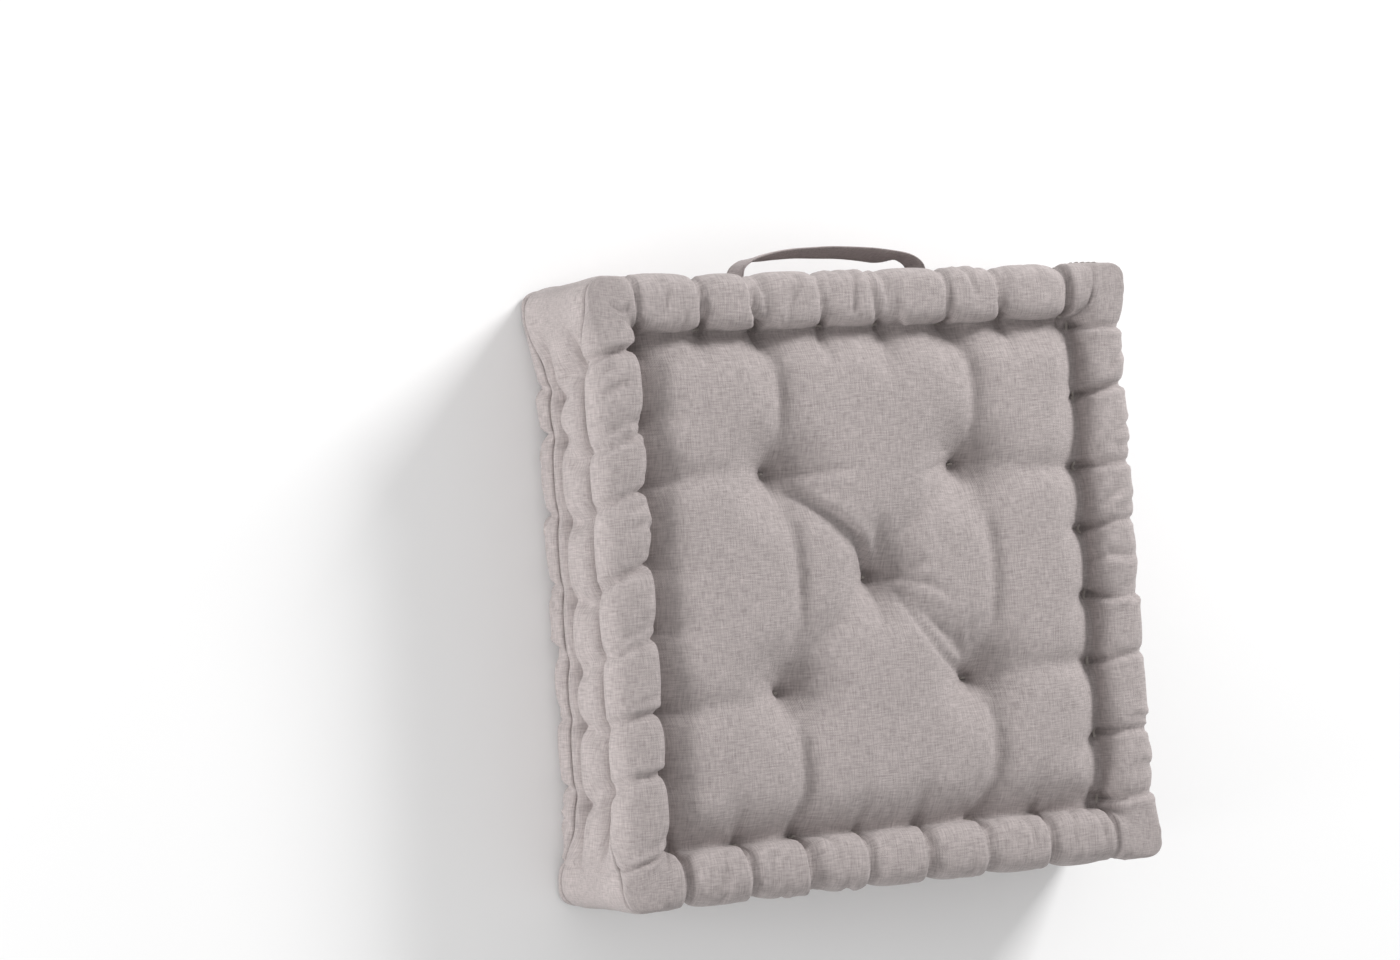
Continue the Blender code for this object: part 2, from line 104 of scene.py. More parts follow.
half = (panel_high.x - panel_low.x) / 2
thick = panel_high.z
valley = half - ROLL_ACROSS
VALLEY = round(valley / CELL)
cell = valley / VALLEY
SEAM = VALLEY + ROLL_STEPS
ROWS = 2 * (LIP_STEPS + LOBE_STEPS)
dice = np.random.default_rng(7)


def ease(share):
    share = np.clip(share, 0, 1)
    return share * share * (3 - 2 * share)


def mix(a, b, share):
    return a + (b - a) * share


# the net: both faces as square grids, then the band's inner rows, station by station
perimeter = ([(i, -SEAM) for i in range(-SEAM, SEAM)] + [(SEAM, j) for j in range(-SEAM, SEAM)]
             + [(i, SEAM) for i in range(SEAM, -SEAM, -1)]
             + [(-SEAM, j) for j in range(SEAM, -SEAM, -1)])
STATIONS = len(perimeter)
FACE = (2 * SEAM + 1) ** 2


def face_index(i, j, under):
    return under * FACE + (j + SEAM) * (2 * SEAM + 1) + i + SEAM


def band_index(row, station):
    station %= STATIONS
    if row in (0, ROWS):
        return face_index(*perimeter[station], row == ROWS)
    return 2 * FACE + (row - 1) * STATIONS + station


grid = np.arange(-SEAM, SEAM + 1)
face_i, face_j = (a.ravel() for a in np.meshgrid(grid, grid))
band_i, band_j = np.array(perimeter).T
rows_between = np.arange(1, ROWS)
net_i = np.concatenate([face_i, face_i, np.tile(band_i, ROWS - 1)]).astype(float)
net_j = np.concatenate([face_j, face_j, np.tile(band_j, ROWS - 1)]).astype(float)
face_ring = np.maximum(abs(face_i), abs(face_j))
down = np.concatenate([face_ring, face_ring, np.repeat(np.minimum(rows_between, ROWS - rows_between),
                                                       STATIONS) + SEAM]).astype(float)
under = np.concatenate([np.zeros(FACE), np.ones(FACE),
                        np.repeat((rows_between > ROWS / 2) * 1.0, STATIONS)]).astype(bool)
middle_row = np.concatenate([np.zeros(2 * FACE), np.repeat(rows_between == ROWS / 2, STATIONS)]) > 0

quads = []
for below in (False, True):
    for j in range(-SEAM, SEAM):
        for i in range(-SEAM, SEAM):
            loop = [face_index(i, j, below), face_index(i + 1, j, below),
                    face_index(i + 1, j + 1, below), face_index(i, j + 1, below)]
            quads.append(loop[::-1] if below else loop)
for row in range(ROWS):
    for station in range(STATIONS):
        quads.append([band_index(row + 1, station), band_index(row + 1, station + 1),
                      band_index(row, station + 1), band_index(row, station)])
face_quads = (2 * SEAM) ** 2
piece_of_quad = np.concatenate([np.zeros(face_quads), np.full(face_quads, 2),
                                np.ones(ROWS * STATIONS)]).astype(int)

# turn round the roll: 180 degrees at the valley, 0 at the outer side, then the lip and the lobe
turn = np.where(down <= SEAM, mix(180, SEAM_TURN, (down - VALLEY) / ROLL_STEPS),
                mix(SEAM_TURN, GROOVE_TURN, (down - SEAM) / LIP_STEPS))
turn = np.clip(turn, GROOVE_TURN, 180)
lobe = np.clip((down - SEAM - LIP_STEPS) / LOBE_STEPS, 0, 1)


def roll_section(turn):
    a = np.radians(turn)
    return (ROLL_ACROSS / 2 * (1 - np.cos(a)),
            thick - ROLL_HEIGHT / 2 + ROLL_HEIGHT / 2 * np.sin(a))


def side_section(turn, lobe):
    """(inset, height) on a stitched side."""
    inset, height = roll_section(turn)
    a = lobe * math.pi / 2
    lobe_inset = mix(inset, LOBE_RECESS, np.sin(a) ** LOBE_POWER)
    lobe_height = mix(thick / 2, height, np.cos(a) ** LOBE_POWER)
    return np.where(lobe > 0, lobe_inset, inset), np.where(lobe > 0, lobe_height, height)


def corner_section(turn, lobe):
    """(inset, height) at an untacked corner, which stands straight up."""
    inset, height = roll_section(np.maximum(turn, 0))
    flat_turn, edge_drop, seam_drop = 70, 0.0015, 0.006
    to_edge = 1 - np.clip(turn, 0, flat_turn) / flat_turn
    height = np.where(turn >= flat_turn, height, thick - edge_drop * to_edge)
    height = np.where(turn < 0, thick - mix(edge_drop, seam_drop, turn / SEAM_TURN), height)
    lip = (SEAM_TURN - turn) / (SEAM_TURN - GROOVE_TURN)
    height = np.where(turn < SEAM_TURN, mix(thick - seam_drop, thick - ROLL_HEIGHT, lip), height)
    height = np.where(lobe > 0, mix(thick - ROLL_HEIGHT, thick / 2, lobe), height)
    return np.where(turn < 0, 0, inset), height


def along_side(index, inset):
    """Where net line number index crosses the ring, measured from the side's middle."""
    beyond = (abs(index) - VALLEY) / np.maximum(np.minimum(down, SEAM) - VALLEY, 1)
    outer = valley + (ROLL_ACROSS - inset) * beyond
    return np.sign(index) * np.where(abs(index) <= VALLEY, abs(index) * cell, outer)


# each corner stands upright, and the rolls take over further along the side; between the corners
# each side's rolls lean over the field, and stand back from the outer wall or out past it
CORNER_ENDS, CORNER_OVER = 0.018, 0.040
LEANS_OVER = np.array([0.0045, 0.0, 0.0050, 0.0065])        # front, right, back, left
STANDS_BACK = np.array([-0.001, -0.0015, -0.001, 0.003])
on_x_side = abs(net_i) >= abs(net_j)
to_corner = half - abs(np.where(on_x_side, along_side(net_j, 0), along_side(net_i, 0)))
corner_share = 1 - ease((to_corner - CORNER_ENDS) / CORNER_OVER)
side_of = np.where(on_x_side, np.where(net_i > 0, 1, 3), np.where(net_j > 0, 2, 0))
side_inset, side_height = side_section(turn, lobe)
side_inset += LEANS_OVER[side_of] * np.sin(math.pi * np.clip((180 - turn) / 90, 0, 1))
side_inset += STANDS_BACK[side_of] * ease((90 - turn) / 60) * (lobe == 0)
corner_inset, corner_height = corner_section(turn, lobe)
inset = mix(side_inset, corner_inset, corner_share)
height = mix(side_height, corner_height, corner_share)
in_field = down <= VALLEY
CORNER_RADIUS, INNER_RADIUS = 0.012, 0.002


def lay_out(inset, height):
    """Net points from each one's inset from the outer wall and its height, as on the top half."""
    x, y = along_side(net_i, inset), along_side(net_j, inset)
    x = np.where(in_field, net_i * cell, x)
    y = np.where(in_field, net_j * cell, y)
    radius = np.maximum(CORNER_RADIUS - inset, INNER_RADIUS)
    core = half - inset - radius
    out_x, out_y = abs(x) - core, abs(y) - core
    rounded = (out_x > 0) & (out_y > 0) & ~in_field
    scale = np.where(rounded, radius / np.maximum(np.hypot(out_x, out_y), 1e-9), 1)
    x = np.where(rounded, np.sign(x) * (core + out_x * scale), x)
    y = np.where(rounded, np.sign(y) * (core + out_y * scale), y)
    return np.stack([x, y, height], 1)


# untufted: the field rises from the valley and lies nearly level with the rolls' crests
FIELD_DROP, FIELD_SLOPE = 0.004, 0.034
field_level = thick - FIELD_DROP
to_valley = np.minimum(valley - abs(net_i * cell), valley - abs(net_j * cell))
field_height = mix(thick - ROLL_HEIGHT / 2, field_level, ease(to_valley / FIELD_SLOPE))
height = np.where(in_field, field_height, height)
smooth = lay_out(inset, height)

# tufts: the twine draws the field down to the depth that its knots have, and between one tuft
# and the next, or the stitches of the rolls, the cloth is held taut in a soft valley
tufts = {}
for name in ("centre", "front_left", "front_right", "back_left", "back_right"):
    low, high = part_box("tuft_tie_" + name)
    tufts[name] = ((low.x + high.x) / 2 - centre.x, (low.y + high.y) / 2 - centre.y, high.z)
STITCHES = 8                  # to a side and face
END_STITCH = 0.0095           # from the valley's end
STITCH_SCATTER, LEAN_SCATTER = 0.0032, 0.0065
stitch_reach = valley - END_STITCH
stitch_step = 2 * stitch_reach / (STITCHES - 1)
stitch_places = {}
for below in (False, True):
    for side in range(4):
        stitch_places[below, side] = (-stitch_reach + stitch_step * np.arange(STITCHES)
                                      + dice.normal(0, STITCH_SCATTER, STITCHES))
TUFT_REACH = 0.058            # from a tuft to where its dimple ends
VALLEY_SPREAD = 0.010         # how softly a taut line draws the cloth beside it


def taut_lines(below):
    """(start, end, bow, depth, whether it fades to its end) of one face's valleys, in metres."""
    front, right, back, left = (stitch_places[below, side] for side in range(4))
    spot = {name: Vector(place[:2]) for name, place in tufts.items()}
    lines = [
        ("back_left", Vector((back[2], valley)), 0.008, 0.015),
        ("back_right", Vector((back[5], valley)), 0.013, 0.016),
        ("front_left", Vector((front[2], -valley)), -0.006, 0.014),
        ("front_right", Vector((front[5], -valley)), -0.015, 0.016),
        ("back_left", spot["front_left"], -0.012, 0.016),
        ("back_right", spot["front_right"], -0.016, 0.017),
        ("centre", spot["back_left"], 0.002, 0.012),
        ("centre", spot["front_right"], -0.003, 0.013),
        ("centre", spot["back_right"], -0.008, 0.011),
        ("centre", spot["front_left"], 0.006, 0.012),
        ("back_left", Vector((-valley, left[5])), 0.003, 0.008),
        ("front_left", Vector((-valley, left[2])), -0.003, 0.008),
        ("back_right", Vector((valley, right[5])), 0.003, 0.009),
        ("front_right", Vector((valley, right[2])), -0.003, 0.009),
    ]
    made = [(spot[a], b, bow, depth, False) for a, b, bow, depth in lines]
    made.append((spot["centre"], spot["centre"] + Vector((0.014, 0.075)), -0.006, 0.012, True))
    made.append((spot["centre"], spot["centre"] + Vector((-0.010, -0.070)), -0.005, 0.008, True))
    # and a short one from each stitch of the rolls into the field
    for places, turned, sign in ((back, False, 1), (front, False, -1), (left, True, -1),
                                 (right, True, 1)):
        for place in places:
            reach, drift = dice.uniform(0.035, 0.075), dice.normal(0, 0.008)
            ends = [Vector((place, sign * valley)), Vector((place + drift, sign * (valley - reach)))]
            if turned:
                ends = [end.yx for end in ends]
            made.append((*ends, dice.normal(0, 0.004), dice.uniform(0.007, 0.013), True))
    return made


def line_drop(points, line):
    """How far one taut line draws each point of the field down."""
    start_at, end_at, bow, depth, tapered = line
    across = Vector((end_at.y - start_at.y, start_at.x - end_at.x)).normalized()
    stops = np.linspace(0, 1, 33)
    share = stops[:, None]
    route = (np.array(start_at) * (1 - share) + np.array(end_at) * share
             + np.array(across) * bow * 4 * share * (1 - share))
    away = np.linalg.norm(points[:, None, :] - route[None], axis=2)
    fade = 1 - stops[away.argmin(1)] if tapered else 1
    return depth * fade * np.exp(-away.min(1) / VALLEY_SPREAD)


HELD_FROM, HELD_OVER = 0.005, 0.012     # drop at which a valley is held, and held fully
drawn = smooth.copy()
taut = np.zeros(len(smooth))
for below in (False, True):
    face = np.flatnonzero(in_field & (under == below))
    here = smooth[face, :2]
    drop = np.zeros(len(face))
    for line in taut_lines(below):
        drop = np.maximum(drop, 0.75 * drop + line_drop(here, line))
    taut[face] = np.clip((drop - HELD_FROM) / HELD_OVER, 0, 1)
    for x, y, z in tufts.values():
        away = np.hypot(here[:, 0] - x, here[:, 1] - y) / TUFT_REACH
        dimple = (field_level - z) * np.maximum(1 - away, 0) ** 2.2
        drop = (drop ** 3 + dimple ** 3) ** (1 / 3)
    deepest = min(z for x, y, z in tufts.values())
    drawn[face, 2] = np.maximum(drawn[face, 2] - drop, deepest)

# stitches: each draws a crease over the roll from the valley to its tack in the groove, which
# is a little further along, and pinches the band's lobe beside it
PINCH_WIDTH = 0.0055          # along the roll
ROLL_PINCH, ROLL_SWELL = 0.0068, 0.0010
LOBE_PINCH, VALLEY_PINCH, GROOVE_PINCH = 0.0120, 0.0040, 0.0060
DRAWN = (0.75, 1.3)           # how hard a stitch may be drawn
MOST_PINCH = 1.2              # most that a hard-drawn one may count
OUTER_SHARE, MIDDLE_LESS = 0.55, 0.3    # of a pinch: left on the outer side, lost mid-band
RIGHT_SHARE = 0.7             # the right side's rolls are drawn less
STITCH_DIP, STITCH_DIP_REACH = 0.005, 0.009
FAR = 9.0                     # beyond every point of the net
SIDE_LEAN = (0.20, 0.04, -0.22, -0.40)  # how far the creases slant, in stitches
LEAN_POWER = 1.4              # they slant more toward the groove
along = np.where(on_x_side, smooth[:, 1], smooth[:, 0])
pin = np.zeros(len(smooth))
wave = np.zeros(len(smooth))
across_share = np.clip((180 - turn) / (180 - GROOVE_TURN), 0, 1)
outward_inset, outward_height = -np.cos(np.radians(turn)), np.sin(np.radians(turn))
stitches = []
for below in (False, True):
    for side in range(4):
        places = stitch_places[below, side]
        lean = SIDE_LEAN[side] * stitch_step + dice.normal(0, LEAN_SCATTER, STITCHES)
        depth = dice.uniform(*DRAWN, STITCHES)
        here = (side_of == side) & ((under == below) | middle_row)
        for place, shift, draw in zip(places, lean, depth):
            away = abs(along - place - shift * across_share ** LEAN_POWER)
            wave += np.where(here, draw * np.exp(-away / PINCH_WIDTH), 0)
            stitches.append((below, side, place, place + shift, draw))
wave *= 1 - corner_share
pull = ROLL_PINCH * wave - ROLL_SWELL * (1 - np.minimum(wave, 1)) * (1 - corner_share)
pull *= mix(OUTER_SHARE, 1, ease((turn + 10) / 80)) * np.where(side_of == 1, RIGHT_SHARE, 1)
on_roll = (down >= VALLEY) & (down <= SEAM + LIP_STEPS)
moved_inset = inset + np.where(on_roll, -outward_inset * pull, 0)
moved_height = height - np.where(on_roll, outward_height * pull, 0)
to_middle = np.sin(lobe * math.pi / 2)
moved_inset += np.where(lobe > 0, LOBE_PINCH * wave * (1 - to_middle * MIDDLE_LESS), 0)
at_valley = down == VALLEY
moved_height -= np.where(at_valley, VALLEY_PINCH * np.minimum(wave, MOST_PINCH), 0)
at_groove = down == SEAM + LIP_STEPS
moved_inset += np.where(at_groove, GROOVE_PINCH * np.minimum(wave, MOST_PINCH), 0)

# the band lies flat under the strap's sewn ends, and a little beyond them
BESIDE_END, ABOVE_END, BEHIND_STRAP = 0.004, 0.003, 0.0004
sewn_low, sewn_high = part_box("handle_end_right")
sewn_middle, sewn_half = (sewn_low + sewn_high) / 2, (sewn_high - sewn_low) / 2
under_strap = (side_of == 2) & (lobe > 0)
under_strap &= abs(abs(along) - sewn_middle.x) < sewn_half.x + BESIDE_END
under_strap &= abs(height - thick / 2) < sewn_half.z + ABOVE_END
moved_inset = np.where(under_strap, centre.y + half - sewn_low.y + BEHIND_STRAP, moved_inset)
MOST_OUT = 0.002              # a point may stand past the outer wall
start = lay_out(np.maximum(moved_inset, -MOST_OUT), np.where(in_field, drawn[:, 2], moved_height))

# stitches and tufts are held fast, and lines of stitching, creases and corners in part
for below, side, place, tack, draw in stitches:
    here = (side_of == side) & (under == below)
    pin[np.argmin(np.where(here & at_valley, abs(along - place), FAR))] = 1
    pin[np.argmin(np.where(here & at_groove, abs(along - tack), FAR))] = 1
    dip = STITCH_DIP * draw * np.exp(-np.hypot(along - place, to_valley) / STITCH_DIP_REACH)
    start[:, 2] -= np.where(here & in_field & ~at_valley, dip, 0)
for x, y, z in tufts.values():
    for below in (False, True):
        away = np.hypot(smooth[:, 0] - x, smooth[:, 1] - y)
        pin[np.argmin(np.where(in_field & (under == below), away, FAR))] = 1
LINE_HOLD, CREASE_HOLD, TAUT_HOLD, CORNER_HOLD = 0.55, 0.50, 0.30, 0.35
for hold in (LINE_HOLD * at_valley, LINE_HOLD * at_groove * (1 - corner_share),
             np.where(on_roll, CREASE_HOLD * np.minimum(wave, 1), 0), TAUT_HOLD * taut,
             under_strap, CORNER_HOLD * corner_share * ~in_field):
    pin = np.maximum(pin, hold)


def flip_under(points):
    points = points.copy()
    points[:, 2] = np.where(under, thick - points[:, 2], points[:, 2])
    return points + np.array(centre)


def read(data, name, width, kind=float):
    """One value or vector of each element of a mesh, as an array."""
    values = np.zeros(len(data) * width, kind)
    data.foreach_get(name, values)
    return values.reshape(-1, width) if width > 1 else values


# the cloth is cut larger than the cushion and swells under pressure, without gravity
SLACK = 1.05
SWELL_FRAMES = 21
MOST_SHIFT = 0.012
start, smooth = flip_under(start), flip_under(smooth)
net = bpy.data.meshes.new("net")
net.from_pydata(start.tolist(), [], quads)
cover = put("cover", net)
cover.shape_key_add(name="drawn")
cut = cover.shape_key_add(name="cut")
middle = np.array([*centre.xy, thick / 2])
cut.data.foreach_set("co", ((smooth - middle) * SLACK + middle).ravel())
held = cover.vertex_groups.new(name="held")
for weight in np.unique(pin[pin > 0].round(2)):
    held.add(np.flatnonzero(pin.round(2) == weight).tolist(), float(weight), "REPLACE")

cloth = cover.modifiers.new("cloth", "CLOTH")
settings = cloth.settings
settings.rest_shape_key = cut
settings.quality = 6
settings.mass = 0.02
settings.air_damping = 4
settings.tension_stiffness = settings.compression_stiffness = 18
settings.shear_stiffness = 6
settings.bending_stiffness = 0.1
settings.use_pressure = True
settings.uniform_pressure_force = 700
settings.vertex_group_mass = held.name
settings.effector_weights.gravity = 0
cloth.collision_settings.use_collision = False
for number in range(1, SWELL_FRAMES + 1):
    scene.frame_set(number)
depsgraph = bpy.context.evaluated_depsgraph_get()
swollen = bpy.data.meshes.new_from_object(cover.evaluated_get(depsgraph))
shift = read(swollen.vertices, "co", 3) - start
moved_by = np.linalg.norm(shift, axis=1)
shift *= (MOST_SHIFT * np.tanh(moved_by / MOST_SHIFT) / np.maximum(moved_by, 1e-9))[:, None]
shaped = start + shift
bpy.data.objects.remove(cover)
scene.frame_set(1)


def settle(points):
    """Press the underside flat where it lies on the floor, and the upper rolls as gently."""
    give = 0.003
    for sign, level in ((-1, 0.0), (1, thick)):
        past = sign * (points[:, 2] - level)
        over = past > -give
        pressed = -give * np.exp(-(past + give) / give)
        points[:, 2] = np.where(over, level + sign * pressed, points[:, 2])
    return points


shaped = settle(shaped)

# one finer net, with the flat cut of the cloth kept as its map, in metres
mesh = bpy.data.meshes.new("fine_net")
mesh.from_pydata(shaped.tolist(), [], quads)
mesh.polygons.foreach_set("material_index", piece_of_quad)
corners = np.array(quads)
face_map = np.stack([net_i * cell, net_j * cell], 1)
cut_map = face_map[corners]
row_of = np.repeat(np.arange(ROWS), STATIONS)
station_of = np.tile(np.arange(STATIONS), ROWS)
for corner, (lower, onward) in enumerate(((1, 0), (1, 1), (0, 1), (0, 0))):
    cut_map[2 * face_quads:, corner, 0] = (station_of + onward) * cell
    cut_map[2 * face_quads:, corner, 1] = -(row_of + lower) * cell
weave = mesh.uv_layers.new(name="cut")
weave.data.foreach_set("uv", cut_map.astype(np.float32).ravel())
for kind in range(3):
    mesh.materials.append(None)
fine_net = put("fine_net", mesh)
finer = fine_net.modifiers.new("finer", "SUBSURF")
finer.levels = finer.render_levels = 1
finer.uv_smooth = "PRESERVE_BOUNDARIES"
depsgraph = bpy.context.evaluated_depsgraph_get()
fine = bpy.data.meshes.new_from_object(fine_net.evaluated_get(depsgraph))
bpy.data.objects.remove(fine_net)
fine_places = read(fine.vertices, "co", 3)
fine_outward = read(fine.vertices, "normal", 3)
fine_quads = read(fine.loops, "vertex_index", 1, int).reshape(-1, 4)
fine_piece = read(fine.polygons, "material_index", 1, int)
fine_map = read(fine.uv_layers["cut"].data, "uv", 2).reshape(-1, 4, 2)


LIP_SHARE, LIP_AWAY, LIP_WIDTH = 0.45, 2.1, 1.3     # of the dent's depth and width
TAPER_POWER = 0.6             # a crease stays deep for most of its length
WRINKLE_WIDTH, WRINKLE_RISE = 0.0033, 0.35
CREASE_WIDTH, CREASE_DEPTH = 0.0024, 0.0046         # over the roll


def fold_depth(points, a, b, bow, width, rise=0.0):
    """One crease in the flat cut: a dent along a bowed line, with the lip it raises beside it."""
    line = np.array(b) - np.array(a)
    length = np.hypot(*line)
    way = line / length
    away = points - np.array(a)
    share = away @ way / length
    off = away[:, 0] * way[1] - away[:, 1] * way[0] - bow * 4 * share * (1 - share)
    past = np.maximum(np.maximum(-share, share - 1), 0) * length
    inside = np.clip(share, 0, 1)
    taper = np.exp(-(past / width) ** 2) * (1 - inside) ** TAPER_POWER * inside ** rise
    dent = np.exp(-(off / width) ** 2)
    lip = LIP_SHARE * np.exp(-((off - LIP_AWAY * width) / (LIP_WIDTH * width)) ** 2)
    return (dent - lip) * taper


def panel_folds(below):
    """(start, end, bow, width, depth, rise) of the creases in one face panel, in its flat cut."""
    folds = []
    # a fan of small creases at each tuft
    spots = {name: Vector(place[:2]) for name, place in tufts.items()}
    for name, spot in spots.items():
        turn_from = dice.uniform(0, math.tau)
        for number in range(7):
            heading = turn_from + number * math.tau / 7 + dice.normal(0, 0.25)
            reach = dice.uniform(0.014, 0.034)
            end = spot + reach * Vector((math.cos(heading), math.sin(heading)))
            folds.append((spot, end, dice.normal(0, 0.002), dice.uniform(0.0022, 0.0030),
                          dice.uniform(0.0006, 0.0014)))
    # single wrinkles from tufts: (tuft, toward, turned by, reach, depth, bow)
    drawn_from = (("centre", "back_left", 0.05, 0.098, 0.0085, 0.009),
                  ("centre", "back_left", -0.16, 0.066, 0.0030, 0.004),
                  ("front_right", "centre", -0.04, 0.094, 0.0060, -0.010),
                  ("front_right", "centre", -0.42, 0.060, 0.0026, -0.006),
                  ("centre", "front_right", 0.45, 0.066, 0.0045, -0.006),
                  ("centre", "back_right", -0.55, 0.045, 0.0040, 0.002),
                  ("back_left", "back_right", 0.02, 0.068, 0.0045, 0.002),
                  ("back_right", "back_left", 0.20, 0.044, 0.0030, 0.002),
                  ("front_left", "centre", -0.20, 0.048, 0.0030, 0.002))
    for root, toward, angle, reach, depth, bow in drawn_from:
        way = spots[toward] - spots[root]
        way.rotate(Matrix.Rotation(angle, 2))
        folds.append((spots[root], spots[root] + way.normalized() * reach, bow,
                      WRINKLE_WIDTH, depth, WRINKLE_RISE))
    # a crease over the roll at each stitch, with smaller ones beside it
    out_of = ((0, -1), (1, 0), (0, 1), (-1, 0))
    over_roll = ROLL_STEPS * cell
    for here, side, place, tack, draw in stitches:
        if here != below:
            continue
        out = Vector(out_of[side])
        on = Vector((abs(out.y), abs(out.x)))
        root = out * valley + on * place
        lean = (tack - place) * 0.75
        folds.append((root, root + out * over_roll * 1.15 + on * lean,
                      lean * 0.2 + dice.normal(0, 0.0040), CREASE_WIDTH, CREASE_DEPTH * draw))
        for number in range(2):
            spread = on * dice.normal(0, 0.009) - out * dice.uniform(0.010, 0.022)
            folds.append((root, root + spread, 0, 0.0026, dice.uniform(0.0008, 0.0020)))
        for number in range(2):
            middle = place + stitch_step * dice.uniform(0.2, 0.8)
            begin = dice.uniform(0.0, 0.55) * over_roll
            reach = dice.uniform(0.25, 0.6) * over_roll
            root = out * (valley + begin) + on * middle
            end = root + out * reach + on * dice.normal(lean * 0.4, 0.005)
            if dice.uniform() < 0.75:
                root, end = (end, root) if dice.uniform() < 0.5 else (root, end)
                folds.append((root, end, dice.normal(0, 0.003), dice.uniform(0.0024, 0.0032),
                              dice.uniform(0.0014, 0.0032)))
    return folds


def band_folds():
    """The creases across the side band at its tacks, in its flat cut."""
    folds = []
    starts = (SEAM, 3 * SEAM, 5 * SEAM, 7 * SEAM)
    heading = (1, 1, -1, -1)
    lip, whole = LIP_STEPS * cell, ROWS * cell
    for below, side, place, tack, draw in stitches:
        station = starts[side] * cell + heading[side] * tack
        edge, far = (-whole, -1) if below else (0, 1)
        root = Vector((station, edge - far * lip))
        lip_end = Vector((station, edge))
        lobe_end = root - Vector((dice.normal(0, 0.004), far * LOBE_STEPS * cell * 0.8))
        folds.append((root, lip_end, 0, 0.0020, 0.0016 * draw))
        folds.append((root, lobe_end, dice.normal(0, 0.002), 0.0020, 0.0013 * draw))
    return folds


def split_off(index):
    """One piece of the fine net as (places, quads, map, outward), its own corners numbered."""
    own = fine_quads[fine_piece == index]
    used, own_quads = np.unique(own, return_inverse=True)
    own_quads = own_quads.reshape(own.shape)
    own_map = fine_map[fine_piece == index]
    at = np.zeros((len(used), 2))
    at[own_quads.ravel()] = own_map.reshape(-1, 2)
    return fine_places[used].copy(), own_quads, own_map, fine_outward[used], at


TURNED_IN = (0.0022, 0.0070)  # the allowance's two steps inward from the seam
BACK_FROM_SEAM = 0.28         # share of a cell


def sew_edge(places, own_quads, own_map, outward):
    """Turn the seam allowance in along every open edge."""
    edges = np.concatenate([own_quads[:, [k, (k + 1) % 4]] for k in range(4)])
    maps = np.concatenate([own_map[:, [k, (k + 1) % 4]] for k in range(4)])
    keys = np.sort(edges, axis=1)
    _, first, uses = np.unique(keys, axis=0, return_index=True, return_counts=True)
    rim = first[uses == 1]
    rim_points = np.unique(edges[rim])
    # the fold of each allowance stands a hair back from the seam line
    beside, meet = np.zeros_like(places), np.zeros(len(places))
    for k in range(4):
        np.add.at(beside, own_quads[:, k], places[own_quads].mean(1))
        np.add.at(meet, own_quads[:, k], 1)
    beside /= meet[:, None]
    places[rim_points] = mix(places[rim_points], beside[rim_points], BACK_FROM_SEAM)
    for step in TURNED_IN:
        turned_in = places[rim_points] - outward[rim_points] * step
        number = np.full(len(places), -1)
        number[rim_points] = len(places) + np.arange(len(rim_points))
        pair = edges[rim]
        added = np.stack([pair[:, 1], pair[:, 0], number[pair[:, 0]], number[pair[:, 1]]], 1)
        own_map = np.concatenate([own_map, maps[rim][:, [1, 0, 0, 1]]])
        own_quads = np.concatenate([own_quads, added])
        places = np.concatenate([places, turned_in])
        outward = np.concatenate([outward, outward[rim_points]])
        edges[rim] = number[pair]
        rim_points = number[rim_points]
    return places, own_quads, own_map


COVER_CLOTH = 0.0009          # thickness
SEAM_SINK, SEAM_SPREAD = 0.0014, 0.0022
JOIN_SINK, JOIN_SPREAD = 0.0016, 0.0016
HIGHEST_LIP, DEEPEST_FOLD = -0.0016, 0.0062
cover_pieces = {}
for index, name in ((0, "top_panel"), (2, "bottom_panel"), (1, "side_band")):
    places, own_quads, own_map, outward, at = split_off(index)
    folds = band_folds() if index == 1 else panel_folds(index == 2)
    depth = np.zeros(len(at))
    for a, b, bow, width, deep, *rise in folds:
        depth += deep * fold_depth(at, a, b, bow, width, *rise)
    if index == 1:
        to_seam = np.minimum(-at[:, 1], at[:, 1] + ROWS * cell)
        from_join = abs((at[:, 0] + STATIONS * cell / 2) % (STATIONS * cell) - STATIONS * cell / 2
                        - SEAM * cell)
        depth += JOIN_SINK * np.exp(-from_join / JOIN_SPREAD)
    else:
        to_seam = SEAM * cell - abs(at).max(1)
    depth = np.clip(depth, HIGHEST_LIP, DEEPEST_FOLD)
    depth += SEAM_SINK * np.exp(-np.maximum(to_seam, 0) / SEAM_SPREAD)
    places -= outward * depth[:, None]
    places, own_quads, own_map = sew_edge(places, own_quads, own_map, outward)
    cloth_mesh = bpy.data.meshes.new(name + "_cloth")
    cloth_mesh.from_pydata(places.tolist(), [], own_quads.tolist())
    own_layer = cloth_mesh.uv_layers.new(name="cut")
    own_layer.data.foreach_set("uv", own_map.astype(np.float32).ravel())
    cloth_mesh.shade_smooth()
    piece = put(name + "_cloth", cloth_mesh)
    solid = piece.modifiers.new("cloth", "SOLIDIFY")
    solid.thickness = COVER_CLOTH
    solid.offset = -1
    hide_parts(name)
    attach(piece, "cushion")
    cover_pieces[name] = piece


